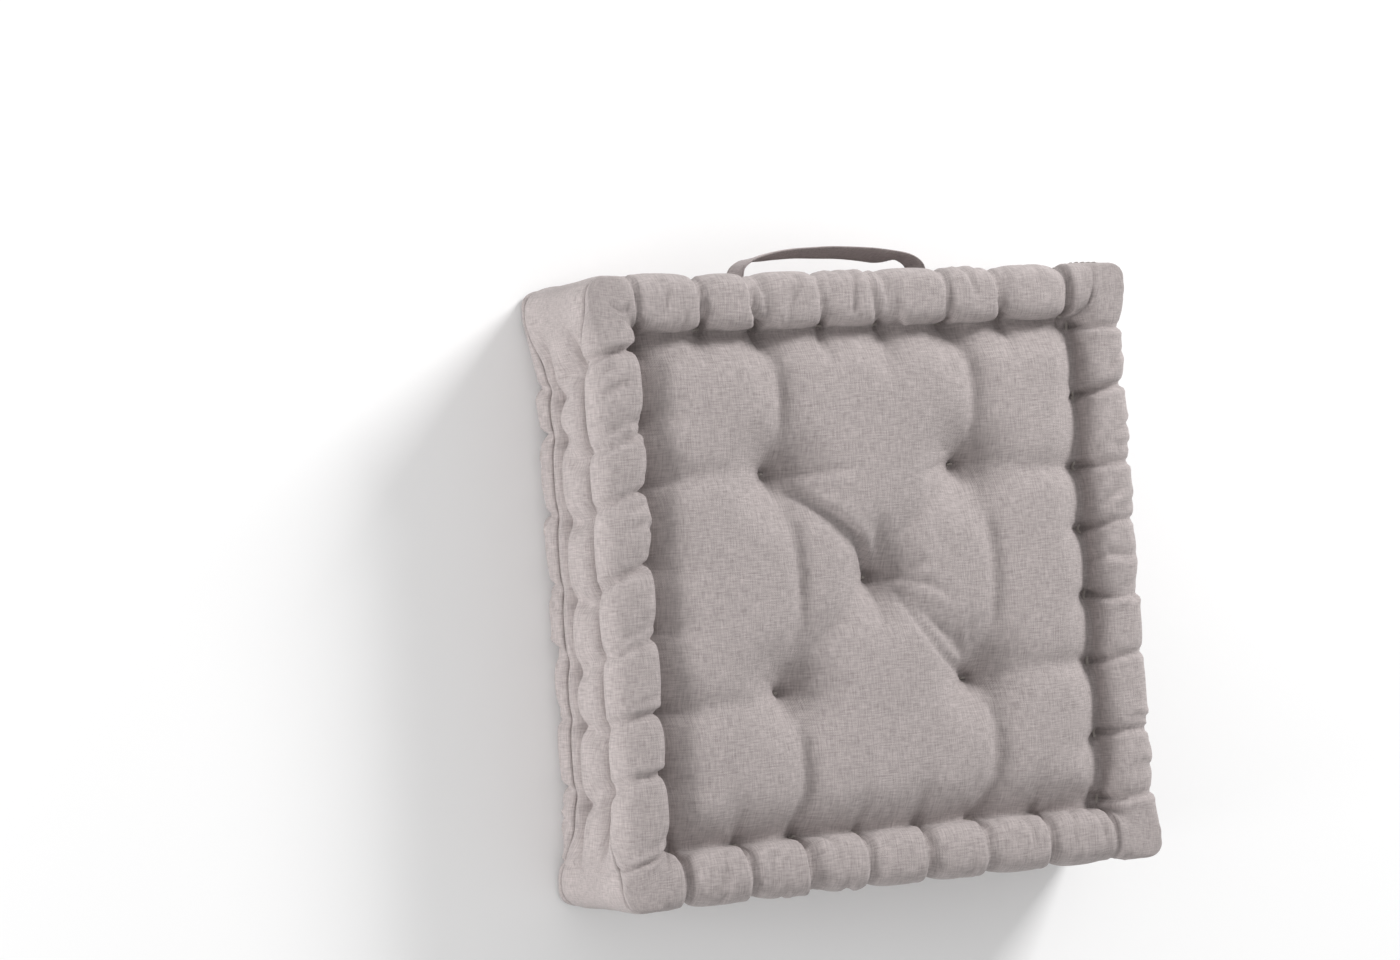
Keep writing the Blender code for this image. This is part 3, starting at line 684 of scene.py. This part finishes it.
class Wire:
    """One value in a material, which takes part in plain sums."""

    def __init__(self, tree, socket):
        self.tree, self.socket = tree, socket

    def sum_node(self, operation, a, b):
        node = self.tree.nodes.new("ShaderNodeMath")
        node.operation = operation
        for socket, value in zip(node.inputs, (a, b)):
            if isinstance(value, Wire):
                self.tree.links.new(value.socket, socket)
            else:
                socket.default_value = value
        return Wire(self.tree, node.outputs[0])

    def __add__(self, other):
        return self.sum_node("ADD", self, other)

    def __mul__(self, other):
        return self.sum_node("MULTIPLY", self, other)

    def __sub__(self, other):
        return self.sum_node("SUBTRACT", self, other)

    def __rsub__(self, other):
        return self.sum_node("SUBTRACT", other, self)

    def __abs__(self):
        return self.sum_node("ABSOLUTE", self, 0)

    def over(self, level):
        return self.sum_node("GREATER_THAN", self, level)

    def sine(self):
        return self.sum_node("SINE", self, 0)

    __radd__, __rmul__ = __add__, __mul__


class Finish:
    """A material under way: its tree, its Principled shader, and one way to add any node."""

    def __init__(self, name, roughness, sheen=0.0):
        self.material = bpy.data.materials.new(name)
        self.material.use_nodes = True
        self.tree = self.material.node_tree
        self.shader = self.tree.nodes["Principled BSDF"]
        self.shader.inputs["Roughness"].default_value = roughness
        self.shader.inputs["Sheen Weight"].default_value = sheen
        self.shader.inputs["Sheen Roughness"].default_value = 0.5
        self.shader.inputs["Specular IOR Level"].default_value = 0.25

    def node(self, kind, settings, sockets, out=0):
        node = self.tree.nodes.new(kind)
        for key, value in settings.items():
            setattr(node, key, value)
        for key, value in sockets.items():
            if isinstance(value, Wire):
                self.tree.links.new(value.socket, node.inputs[key])
            else:
                node.inputs[key].default_value = value
        return Wire(self.tree, node.outputs[out])

    def feed(self, name, wire):
        self.tree.links.new(wire.socket, self.shader.inputs[name])


THREAD_PITCH = 0.00075


def linen(name, pale, dark):
    """Plain weave: crossed threads of uneven thickness, with slubs, laid along the flat cut."""
    finish = Finish(name, 0.88, sheen=0.15)
    cut_uv = finish.node("ShaderNodeUVMap", {"uv_map": "cut"}, {})
    u = finish.node("ShaderNodeSeparateXYZ", {}, {"Vector": cut_uv}, "X")
    v = finish.node("ShaderNodeSeparateXYZ", {}, {"Vector": cut_uv}, "Y")

    def streaks(across_u, across_v, detail):
        """Uneven tone, by how many changes there are to a metre each way."""
        stretched = finish.node("ShaderNodeCombineXYZ", {}, {"X": u * across_u, "Y": v * across_v})
        return finish.node("ShaderNodeTexNoise", {"noise_dimensions": "2D"},
                           {"Vector": stretched, "Scale": 1.0, "Detail": detail,
                            "Roughness": 0.6})

    warp_slubs = streaks(1100, 90, 2.0)
    weft_slubs = streaks(100, 1000, 2.0)
    wander = streaks(160, 160, 1.0)
    warp = (u * (math.pi / THREAD_PITCH) + wander * 2.0).sine()
    weft = (v * (math.pi / THREAD_PITCH) + wander * 2.0).sine()
    warp_on_top = (warp * weft).over(0)
    threads = abs(weft) * warp_on_top + abs(warp) * (1 - warp_on_top)
    patches = streaks(14, 14, 3.0)
    heather = streaks(640, 110, 2.0) + streaks(110, 640, 2.0)
    tone = (warp_slubs + weft_slubs - 1 + (heather - 1) * 0.45 + threads * 0.24
            + (patches - 0.5) * 0.20 + 0.38)
    colour = finish.node("ShaderNodeMix", {"data_type": "RGBA"},
                         {"Factor": tone, "A": (*dark, 1), "B": (*pale, 1)}, "Result")
    finish.feed("Base Color", colour)
    height = threads * 0.5 + warp_slubs * 0.7 + weft_slubs * 0.7
    finish.feed("Normal", finish.node("ShaderNodeBump", {},
                                      {"Strength": 0.55, "Distance": 0.0007, "Height": height}))
    return finish.material


cover_linen = linen("cover_linen", (0.530, 0.471, 0.462), (0.285, 0.250, 0.244))
for piece in cover_pieces.values():
    piece.data.materials.append(cover_linen)

# ------------------------------------------------------------------------------------ stuffing
# Carded fibre that fills the cover. It is one soft body, a little inside the cloth all round,
# and takes the form that the drawn cover gives it.
INSIDE_CLOTH = 0.0082         # deeper than the cloth and its deepest fold
base = bpy.data.meshes.new("base")
base.from_pydata(shaped.tolist(), [], quads)
base_outward = read(base.vertices, "normal", 3)
bpy.data.meshes.remove(base)
stuffing_mesh = bpy.data.meshes.new("stuffing")
stuffing_mesh.from_pydata((shaped - base_outward * INSIDE_CLOTH).tolist(), [], quads)
stuffing_mesh.shade_smooth()
stuffing = put("stuffing", stuffing_mesh)
fibre = Finish("carded_fibre", 0.95, sheen=0.3)
fluff = fibre.node("ShaderNodeTexNoise", {}, {
    "Vector": fibre.node("ShaderNodeTexCoord", {}, {}, "Object"), "Scale": 240.0, "Detail": 5.0})
fibre.feed("Base Color", fibre.node("ShaderNodeMix", {"data_type": "RGBA"}, {
    "Factor": fluff, "A": (0.60, 0.565, 0.51, 1), "B": (0.80, 0.775, 0.73, 1)}, "Result"))
fibre.feed("Normal", fibre.node("ShaderNodeBump", {}, {
    "Strength": 0.8, "Distance": 0.002, "Height": fluff}))
stuffing_mesh.materials.append(fibre.material)
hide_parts("filling")
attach(stuffing, "cushion")

# ------------------------------------------------------------------------------------ tuft ties
# A doubled length of waxed two-ply twine at each tuft. It goes down through the cloth and the
# stuffing, is drawn tight across the bottom of the dimple, and is knotted on the underside.
TWINE = 0.00062               # radius of one ply
TIE_BEND, TIE_WAIST = 0.0012, 0.8       # drop at each bend, and its width midway


def nodes_for(name, sizes):
    """An empty geometry tree with a geometry input and named sizes, ready for its nodes."""
    tree = bpy.data.node_groups.new(name, "GeometryNodeTree")
    tree.interface.new_socket("Geometry", in_out="INPUT", socket_type="NodeSocketGeometry")
    for size, kind in sizes.items():
        tree.interface.new_socket(size, in_out="INPUT", socket_type="NodeSocket" + kind)
    tree.interface.new_socket("Geometry", in_out="OUTPUT", socket_type="NodeSocketGeometry")
    inlet, outlet = tree.nodes.new("NodeGroupInput"), tree.nodes.new("NodeGroupOutput")

    def feed(socket, value):
        if isinstance(value, bpy.types.NodeSocket):
            tree.links.new(value, socket)
        else:
            socket.default_value = value

    def add(kind, settings=None, **links):
        node = tree.nodes.new(kind)
        for key, value in (settings or {}).items():
            setattr(node, key, value)
        for key, value in links.items():
            feed(node.inputs[key.replace("_", " ")], value)
        return node

    def maths(operation, a, b):
        node = add("ShaderNodeMath", {"operation": operation})
        feed(node.inputs[0], a)
        feed(node.inputs[1], b)
        return node.outputs[0]

    def complete(geometry):
        """Smooth, real and in its material, which ends the tree."""
        soft = add("GeometryNodeSetShadeSmooth", Geometry=geometry)
        real = add("GeometryNodeRealizeInstances", Geometry=soft.outputs["Geometry"])
        done = add("GeometryNodeSetMaterial", Geometry=real.outputs["Geometry"],
                   Material=inlet.outputs["Finish"])
        tree.links.new(done.outputs["Geometry"], outlet.inputs[0])
        return tree

    return add, maths, complete, inlet.outputs


def plied_twine_tree():
    """Twisted plies along a curve."""
    add, maths, complete, given = nodes_for("plied_twine", {
        "Ply Radius": "Float", "Plies": "Int", "Lay": "Float", "Step": "Float",
        "Finish": "Material"})
    route = add("GeometryNodeResampleCurve", {"mode": "LENGTH"}, Curve=given["Geometry"],
                Length=given["Step"])
    run = add("GeometryNodeSplineParameter")
    turns = maths("DIVIDE", run.outputs["Length"], given["Lay"])
    twisted = add("GeometryNodeSetCurveTilt", Curve=route.outputs["Curve"],
                  Tilt=maths("MULTIPLY", turns, math.tau))
    lay_ring = add("GeometryNodeCurvePrimitiveCircle", Resolution=given["Plies"],
                   Radius=given["Ply Radius"])
    ply = add("GeometryNodeCurvePrimitiveCircle", Resolution=6, Radius=given["Ply Radius"])
    plies = add("GeometryNodeInstanceOnPoints", Points=lay_ring.outputs["Curve"],
                Instance=ply.outputs["Curve"])
    section = add("GeometryNodeRealizeInstances", Geometry=plies.outputs["Instances"])
    twine = add("GeometryNodeCurveToMesh", Curve=twisted.outputs["Curve"],
                Profile_Curve=section.outputs["Geometry"], Fill_Caps=True)
    return complete(twine.outputs["Mesh"])


def curve_through(name, routes, closed=False):
    """A smooth curve through each list of points."""
    data = bpy.data.curves.new(name, "CURVE")
    data.dimensions = "3D"
    data.resolution_u = 6
    for points in routes:
        spline = data.splines.new("BEZIER")
        spline.bezier_points.add(len(points) - 1)
        for knot, point in zip(spline.bezier_points, points):
            knot.co = point
            knot.handle_left_type = knot.handle_right_type = "AUTO"
        spline.use_cyclic_u = closed
    return put(name + "_route", data)


def run_tree(name, route, tree, sizes):
    """The plain mesh that a geometry tree makes of a route."""
    modifier = route.modifiers.new("made", "NODES")
    modifier.node_group = tree
    for item in tree.interface.items_tree:
        if item.in_out == "INPUT" and item.name in sizes:
            modifier[item.identifier] = sizes[item.name]
    depsgraph = bpy.context.evaluated_depsgraph_get()
    made = bpy.data.meshes.new_from_object(route.evaluated_get(depsgraph))
    bpy.data.objects.remove(route)
    return put(name, made)


def thread_finish(name, pale, dark, roughness):
    finish = Finish(name, roughness, sheen=0.2)
    place = finish.node("ShaderNodeTexCoord", {}, {}, "Object")
    fuzz = finish.node("ShaderNodeTexNoise", {}, {"Vector": place, "Scale": 1500.0, "Detail": 3.0})
    finish.feed("Base Color", finish.node("ShaderNodeMix", {"data_type": "RGBA"}, {
        "Factor": fuzz, "A": (*dark, 1), "B": (*pale, 1)}, "Result"))
    finish.feed("Normal", finish.node("ShaderNodeBump", {}, {
        "Strength": 0.5, "Distance": 0.0003, "Height": fuzz}))
    return finish.material


waxed_twine = thread_finish("waxed_twine", (0.66, 0.61, 0.57), (0.44, 0.40, 0.37), 0.6)
plied_twine = plied_twine_tree()
twine_sizes = {"Ply Radius": TWINE, "Plies": 2, "Lay": 0.0046, "Step": 0.0007,
               "Finish": waxed_twine}


def skin_of(name):
    """The outside of one finished cloth piece, to find places on."""
    data = cover_pieces[name].data
    return BVHTree.FromPolygons([v.co for v in data.vertices], [p.vertices for p in data.polygons])


skins = {name: skin_of(name) for name in cover_pieces}


def dimple_floor(below, x, y):
    """Height of the cloth at a tuft."""
    skin = skins["bottom_panel" if below else "top_panel"]
    up = Vector((0, 0, -1 if below else 1))
    found = skin.ray_cast(Vector((x, y, thick / 2)) + up * thick, -up)[0]
    return found.z


def knot(place, size, up):
    """An overhand knot, closed on itself, with its two short tails."""
    loop, count = [], 24
    for step in range(count + 1):
        t = math.tau * step / count * 0.96
        loop.append(place + size * Vector((math.sin(t) + 2 * math.sin(2 * t),
                                           math.cos(t) - 2 * math.cos(2 * t),
                                           up * (1.2 - math.sin(3 * t)))))
    tails = [[loop[0], loop[0] + Vector((0.004, 0.002, up * 0.002)),
              loop[0] + Vector((0.009, 0.003, up * 0.0005))],
             [loop[-1], loop[-1] + Vector((-0.003, 0.003, up * 0.002)),
              loop[-1] + Vector((-0.007, 0.006, up * 0.001))]]
    return [loop] + tails


for name, (x, y, z) in tufts.items():
    low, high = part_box("tuft_tie_" + name)
    leg = (high.x - low.x) / 2 - 2 * TWINE
    at = Vector((x + centre.x, y + centre.y, 0))
    ends = {}
    for below in (False, True):
        spots = [dimple_floor(below, at.x + side * leg, at.y) for side in (-1, 0, 1)]
        ends[below] = min(spots) if below else max(spots)
    top, bottom = ends[False] + 2 * TWINE, ends[True] - 2 * TWINE
    rise = (top - bottom) / 4
    down_right = [(leg, top - TIE_BEND), (leg, top - rise), (leg * TIE_WAIST, (top + bottom) / 2),
                  (leg, bottom + rise), (leg, bottom + TIE_BEND)]
    up_left = [(-side, z) for side, z in down_right[::-1]]
    loop = [at + Vector((side, 0, z)) for side, z in
            up_left[-1:] + [(0, top)] + down_right + [(0, bottom)] + up_left[:-1]]
    tie = run_tree("twine_of_tie_" + name, curve_through(name, [loop], closed=True), plied_twine,
                   twine_sizes)
    tails = run_tree("knot_of_tie_" + name,
                     curve_through(name, knot(at + Vector((0, 0, bottom)), 0.0008, -1)),
                     plied_twine, twine_sizes)
    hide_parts("tuft_tie_" + name)
    for piece in (tie, tails):
        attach(piece, "cushion")

# ------------------------------------------------------------------------------------ roll twine
# The edge rolls are stitched by hand with the same twine, one length to a side and face. It shows
# only as a short stitch where it is drawn tight, and runs inside the roll in between.
HALF_STITCH = 0.0030          # half the length that shows
FROM_OUTSIDE, MOST_OFF = 0.012, 0.006   # where a ray to the cloth starts, and how far off it may land


def valley_at(below, side, place):
    """A place on the finished cloth in one valley, and the way out of the valley there."""
    row = np.flatnonzero(at_valley & (side_of == side) & (under == below))
    row = row[np.argsort(along[row])]
    point = Vector([np.interp(place, along[row], shaped[row, axis]) for axis in range(3)])
    inward = Vector(((0, 1), (-1, 0), (0, -1), (1, 0))[side]) * 0.8
    out_of_valley = Vector((*inward, -1 if below else 1)).normalized()
    skin = skins["bottom_panel" if below else "top_panel"]
    found = skin.ray_cast(point + out_of_valley * FROM_OUTSIDE, -out_of_valley)[0]
    if found is None or (found - point).length > MOST_OFF:
        found = point
    return found, out_of_valley


# along the valley in half stitches, and out of the cloth in metres
STITCH_ROUTE = ((-2.2, -0.0045), (-1, -0.0008), (0, 0.0010), (1, -0.0008), (2.2, -0.0045))
for below, face in ((False, "top"), (True, "bottom")):
    for side, side_name in enumerate(("front", "right", "back", "left")):
        route = []
        for place in stitch_places[below, side]:
            for step, lift in STITCH_ROUTE:
                found, outward = valley_at(below, side, place + step * HALF_STITCH)
                route.append(found + outward * lift)
        node = f"roll_thread_{face}_{side_name}"
        twine = run_tree(f"roll_twine_{face}_{side_name}", curve_through(node, [route]),
                         plied_twine, twine_sizes)
        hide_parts(node)
        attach(twine, "cushion")

# ------------------------------------------------------------------------------------ seams
# Machine lockstitch joins each panel to the band and the band's ends to each other. The seams are
# turned in, so the stitches lie deep in them. The last few centimetres, where the cushion was
# stuffed, are closed by hand with whip stitches.
SEWING = 0.00038              # radius of the thread
SEAM_DEEP, JOIN_DEEP = 0.0022, 0.0020
WHIP, WHIP_REACH, WHIP_LIFT = 0.0036, 0.0017, 0.0004    # pitch, to each side, and off the cloth
PAST_CLOSING = 0.01           # length of seam looked at past each end of the closing


def stitch_run_tree():
    """Short round stitches, end to end along a curve."""
    add, maths, complete, given = nodes_for("stitch_run", {
        "Stitch": "Float", "Shown": "Float", "Radius": "Float", "Finish": "Material"})
    route = add("GeometryNodeResampleCurve", {"mode": "LENGTH"}, Curve=given["Geometry"],
                Length=given["Stitch"])
    grain = add("GeometryNodeMeshUVSphere", Segments=6, Rings=5, Radius=1.0)
    along_route = add("GeometryNodeInputTangent")
    turned = add("FunctionNodeAlignRotationToVector", {"axis": "X"},
                 Vector=along_route.outputs["Tangent"])
    size = add("ShaderNodeCombineXYZ", X=maths("MULTIPLY", given["Stitch"], given["Shown"]),
               Y=given["Radius"], Z=given["Radius"])
    stitched = add("GeometryNodeInstanceOnPoints", Points=route.outputs["Curve"],
                   Instance=grain.outputs["Mesh"], Rotation=turned.outputs["Rotation"],
                   Scale=size.outputs["Vector"])
    return complete(stitched.outputs["Instances"])


sewing_thread = thread_finish("sewing_thread", (0.50, 0.455, 0.43), (0.34, 0.305, 0.285), 0.65)
stitch_run = stitch_run_tree()
lockstitch = {"Stitch": 0.0028, "Shown": 0.46, "Radius": SEWING, "Finish": sewing_thread}

for below, face in ((False, "top"), (True, "bottom")):
    ring = [face_index(i, j, below) for i, j in perimeter]
    points = [Vector(shaped[n] - base_outward[n] * SEAM_DEEP) for n in ring]
    seam = run_tree(face + "_seam_stitches", curve_through(face, [points], closed=True),
                    stitch_run, lockstitch)
    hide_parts(face + "_seam_thread")
    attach(seam, "cushion")

join_station = perimeter.index((0, -SEAM))
join_route = [band_index(row, join_station) for row in range(ROWS + 1)]
points = [Vector(shaped[n] - base_outward[n] * JOIN_DEEP) for n in join_route]
band_join = run_tree("band_join_stitches", curve_through("join", [points]), stitch_run,
                     lockstitch)
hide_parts("band_join_thread")
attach(band_join, "cushion")

low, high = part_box("closing_stitch_thread")
seam_ring = [n for n in (face_index(i, SEAM, False) for i in range(SEAM, -SEAM, -1))
             if low.x - PAST_CLOSING < shaped[n, 0] < high.x + PAST_CLOSING]
seam_ring.sort(key=lambda n: shaped[n, 0])
count = round((high.x - low.x) / WHIP)
route = []
for step in range(2 * count + 1):
    x = high.x - step * (high.x - low.x) / (2 * count)
    point = Vector([np.interp(x, shaped[seam_ring, 0], shaped[seam_ring, axis])
                    for axis in range(3)])
    point.z += WHIP_REACH if step % 2 else -WHIP_REACH
    place, outward, _, _ = min((skins[name].find_nearest(point)
                                for name in ("top_panel", "side_band")), key=lambda hit: hit[3])
    route.append(place + outward * WHIP_LIFT)
closing = run_tree("closing_whip_stitches", curve_through("closing", [route]), plied_twine,
                   {**twine_sizes, "Ply Radius": SEWING * 0.8, "Lay": 0.002, "Step": 0.0005,
                    "Finish": sewing_thread})
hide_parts("closing_stitch_thread")
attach(closing, "cushion")

# ------------------------------------------------------------------------------------ strap
# A strip of the cover's linen folded to four layers and topstitched along both edges. Its ends
# lie flat on the side band under a box of stitching, and its middle stands off as a handle.
end_low, end_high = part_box("handle_end_right")
loop_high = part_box("handle_loop")[1]
hinge = next(joint for joint in frame["joints"] if joint["name"] == "handle_tilt")
axis_y = hinge["pos_m"][1]
strap_thick = end_high.y - end_low.y
strap_wide = end_high.z - end_low.z
strap_mid_z = (end_high.z + end_low.z) / 2
wall_y = (end_low.y + end_high.y) / 2
leg_x = loop_high.x - strap_thick / 2
crest_y = loop_high.y - strap_thick / 2
ARCH_POWER = 2.3              # fuller than an ellipse
TURN_RADIUS = 0.0040          # where each leg leaves the band
TURN_BEGINS = 0.009           # from the leg to where the sewn end starts to turn
STRAP_STEP = 0.0018           # between points along it


def strap_route():
    """(x, y) down the strap's middle from the outer end of its right sewn end to its left."""
    turn = [Vector((leg_x + TURN_RADIUS * (1 - math.sin(a)), wall_y + TURN_RADIUS * (1 - math.cos(a))))
            for a in np.linspace(0.15, math.pi / 2, 5)]
    right = [Vector((end_high.x, wall_y)), Vector(((end_high.x + leg_x) / 2, wall_y)),
             Vector((leg_x + TURN_BEGINS, wall_y))] + turn
    arch, foot = [], turn[-1].y + 0.001
    for a in np.linspace(0, math.pi / 2, 18):
        arch.append(Vector((leg_x * math.cos(a) ** (2 / ARCH_POWER),
                            foot + (crest_y - foot) * math.sin(a) ** (2 / ARCH_POWER))))
    half_route = right + arch
    return half_route + [Vector((-p.x, p.y)) for p in half_route[-2::-1]]


def evenly(points, spacing):
    """The same route with its points evenly spaced."""
    places = np.array(points)
    run = np.concatenate([[0], np.cumsum(np.linalg.norm(np.diff(places, axis=0), axis=1))])
    stops = np.linspace(0, run[-1], max(round(run[-1] / spacing), 2) + 1)
    even = np.stack([np.interp(stops, run, places[:, k]) for k in range(2)], 1)
    for _ in range(2):
        even[1:-1] = (even[:-2] + 2 * even[1:-1] + even[2:]) / 4
    return even, stops


strap_line, strap_run = evenly(strap_route(), STRAP_STEP)
heading = np.gradient(strap_line, axis=0)
heading /= np.linalg.norm(heading, axis=1)[:, None]
strap_out = np.stack([-heading[:, 1], heading[:, 0]], 1)
strap_out *= np.sign(strap_out[len(strap_out) // 2, 1])

EDGE_SEAM = 0.0030            # topstitching to the strap's edge
CRUMPLE = 0.0004
SAG, LOWER_EDGE_IN = 0.0040, 0.0085
LEFT_SHARE = 0.35             # the lower edge leans in less toward the left
FREE_OUT = 0.006              # from the hinge line to where it crumples and leans in full
PROFILE = 17                  # points across each face
across = np.linspace(-1, 1, PROFILE)
from_edge = strap_wide / 2 * (1 - abs(across))
# the layers are pressed thin at the topstitching, stand full at the folded edge, and turn there
STITCH_PRESS, STITCH_SPREAD = 0.30, 0.0010
EDGE_FULL, EDGE_AT, EDGE_SPREAD = 0.20, 0.0012, 0.0014
EDGE_TURN, EDGE_LEAST = 0.0009, 0.25
puff = 1 - STITCH_PRESS * np.exp(-((from_edge - EDGE_SEAM) / STITCH_SPREAD) ** 2)
puff *= 1 - EDGE_FULL + EDGE_FULL * np.exp(-((from_edge - EDGE_AT) / EDGE_SPREAD) ** 2)
puff *= mix(EDGE_LEAST, 1, np.sqrt(np.clip(from_edge / EDGE_TURN, 0, 1)))
face_half = strap_thick / 2 * puff
outline = np.concatenate([np.stack([across, face_half], 1), np.stack([across, -face_half], 1)[::-1]])
crumple = np.cumsum(dice.normal(0, 1, len(strap_run)))
crumple = np.convolve(crumple - np.linspace(crumple[0], crumple[-1], len(crumple)),
                      np.ones(9) / 9, "same")
crumple *= CRUMPLE / abs(crumple).max()
free = ease((strap_line[:, 1] - axis_y) / FREE_OUT)
droop = SAG * ease((strap_line[:, 1] - axis_y) / (crest_y - axis_y))
lower_edge_in = LOWER_EDGE_IN * free * mix(LEFT_SHARE, 1, (strap_line[:, 0] / leg_x + 1) / 2)


def strap_point(n, share, out):
    """A place on the strap: station number n, share of the half width, and height off its middle."""
    (x, y), (out_x, out_y) = strap_line[n], strap_out[n]
    lift = out + free[n] * crumple[n] * share
    return (x + out_x * lift, y + out_y * lift - lower_edge_in[n] * (1 - share) / 2,
            strap_mid_z + share * strap_wide / 2 - droop[n])


strap_places, strap_quads, strap_map = [], [], []
for n in range(len(strap_line)):
    strap_places += [strap_point(n, share, out) for share, out in outline]
round_strap = len(outline)
outline_run = np.concatenate([across, across + 2]) * strap_wide / 2
for n in range(len(strap_line) - 1):
    for k in range(round_strap):
        m = (k + 1) % round_strap
        here, onward = n * round_strap, (n + 1) * round_strap
        strap_quads.append((here + k, here + m, onward + m, onward + k))
        far = outline_run[k] + strap_wide / (PROFILE - 1)
        strap_map.extend([(strap_run[n], outline_run[k]), (strap_run[n], far),
                          (strap_run[n + 1], far), (strap_run[n + 1], outline_run[k])])
for station in (0, len(strap_line) - 1):
    first = station * round_strap
    for k in range(PROFILE - 1):
        last = first + round_strap - 1
        loop = [first + k, first + k + 1, last - k - 1, last - k]
        strap_quads.append(loop if station else loop[::-1])
        strap_map.extend([(strap_run[station], 0.1 + 0.001 * corner) for corner in range(4)])
strap_mesh = bpy.data.meshes.new("carrying_strap")
strap_mesh.from_pydata(strap_places, [], strap_quads)
strap_mesh.uv_layers.new(name="cut").data.foreach_set(
    "uv", np.array(strap_map, np.float32).ravel())
strap_mesh.shade_smooth()
strap = put("carrying_strap", strap_mesh)
enclosed = sum(strap_mesh.vertices[p.vertices[0]].co.dot(p.normal) * p.area
               for p in strap_mesh.polygons)
if enclosed < 0:
    strap_mesh.flip_normals()
# the strap's linen is the cover's, painted a little darker as painted shade for the strap standing in
# shadow
strap_mesh.materials.append(linen("strap_linen_with_painted_shade", (0.495, 0.433, 0.428), (0.270, 0.233, 0.230)))
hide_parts("handle_loop", "handle_end_left", "handle_end_right")
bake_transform(strap)

low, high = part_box("handle_topstitch_upper")
STITCHED_PAST, STITCHED_OUT = 0.004, 0.002      # the rows' ends, past the legs and off the band
shown = abs(strap_line[:, 0]) < high.x + STITCHED_PAST
shown &= strap_line[:, 1] > end_high.y + STITCHED_OUT
for row, up in (("upper", 1), ("lower", -1)):
    share = up * (1 - EDGE_SEAM / (strap_wide / 2))
    lift = np.interp(share, across, face_half) + SEWING * 0.3
    routes = [[strap_point(n, share, face * lift) for n in np.flatnonzero(shown)]
              for face in (1, -1)]
    topstitch = run_tree("strap_topstitch_" + row, curve_through(row, routes), stitch_run,
                         {**lockstitch, "Stitch": 0.0030, "Shown": 0.42})
    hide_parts("handle_topstitch_" + row)
    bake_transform(topstitch)

for side in ("left", "right"):
    low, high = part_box("box_stitch_" + side)
    y = end_high.y + SEWING * 0.4
    corners_of_box = [(low.x, low.z), (high.x, low.z), (high.x, high.z), (low.x, high.z)]
    routes = [[Vector((a[0], y, a[1])).lerp(Vector((b[0], y, b[1])), t) for t in (0, 0.5, 1)]
              for a, b in zip(corners_of_box, corners_of_box[1:] + corners_of_box[:1])]
    for a, b in ((0, 2), (1, 3)):
        a, b = corners_of_box[a], corners_of_box[b]
        routes.append([Vector((a[0], y, a[1])).lerp(Vector((b[0], y, b[1])), t)
                       for t in (0.06, 0.5, 0.94)])
    box_stitches = run_tree("box_stitches_" + side, curve_through(side, routes), stitch_run,
                            lockstitch)
    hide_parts("box_stitch_" + side)
    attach(box_stitches, "cushion")

# ------------------------------------------------------------------------------------ setting
# A white floor under an even white sky, a soft light from the right and behind for the form, and
# a weaker one low on the left.
floor_mesh = bpy.data.meshes.new("floor")
floor_mesh.from_pydata([(-6, -6, 0), (6, -6, 0), (6, 6, 0), (-6, 6, 0)], [], [(0, 1, 2, 3)])
floor = put("floor", floor_mesh)
floor.location.z = -0.001     # just below the cushion
pale = bpy.data.materials.new("pale_floor")
pale.use_nodes = True
pale.node_tree.nodes["Principled BSDF"].inputs["Base Color"].default_value = (0.93, 0.93, 0.93, 1)
floor_mesh.materials.append(pale)

world = bpy.data.worlds.new("studio")
world.use_nodes = True
world.node_tree.nodes["Background"].inputs["Color"].default_value = (1, 1, 1, 1)
world.node_tree.nodes["Background"].inputs["Strength"].default_value = 0.62
scene.view_settings.view_transform = "Standard"
scene.world = world


def add_softbox(name, place, aim, size, power):
    light = bpy.data.lights.new(name, "AREA")
    light.shape = "RECTANGLE"
    light.size, light.size_y = size
    light.energy = power
    lamp = put(name, light)
    lamp.location = place
    lamp.rotation_mode = "QUATERNION"
    lamp.rotation_quaternion = (Vector(aim) - Vector(place)).to_track_quat("-Z", "Y")


add_softbox("key", (1.9, 2.0, 1.6), (0, 0, 0.05), (1.0, 1.0), 85)
add_softbox("side", (-2.4, -0.2, 0.35), (0, 0, 0.06), (1.2, 0.5), 36)
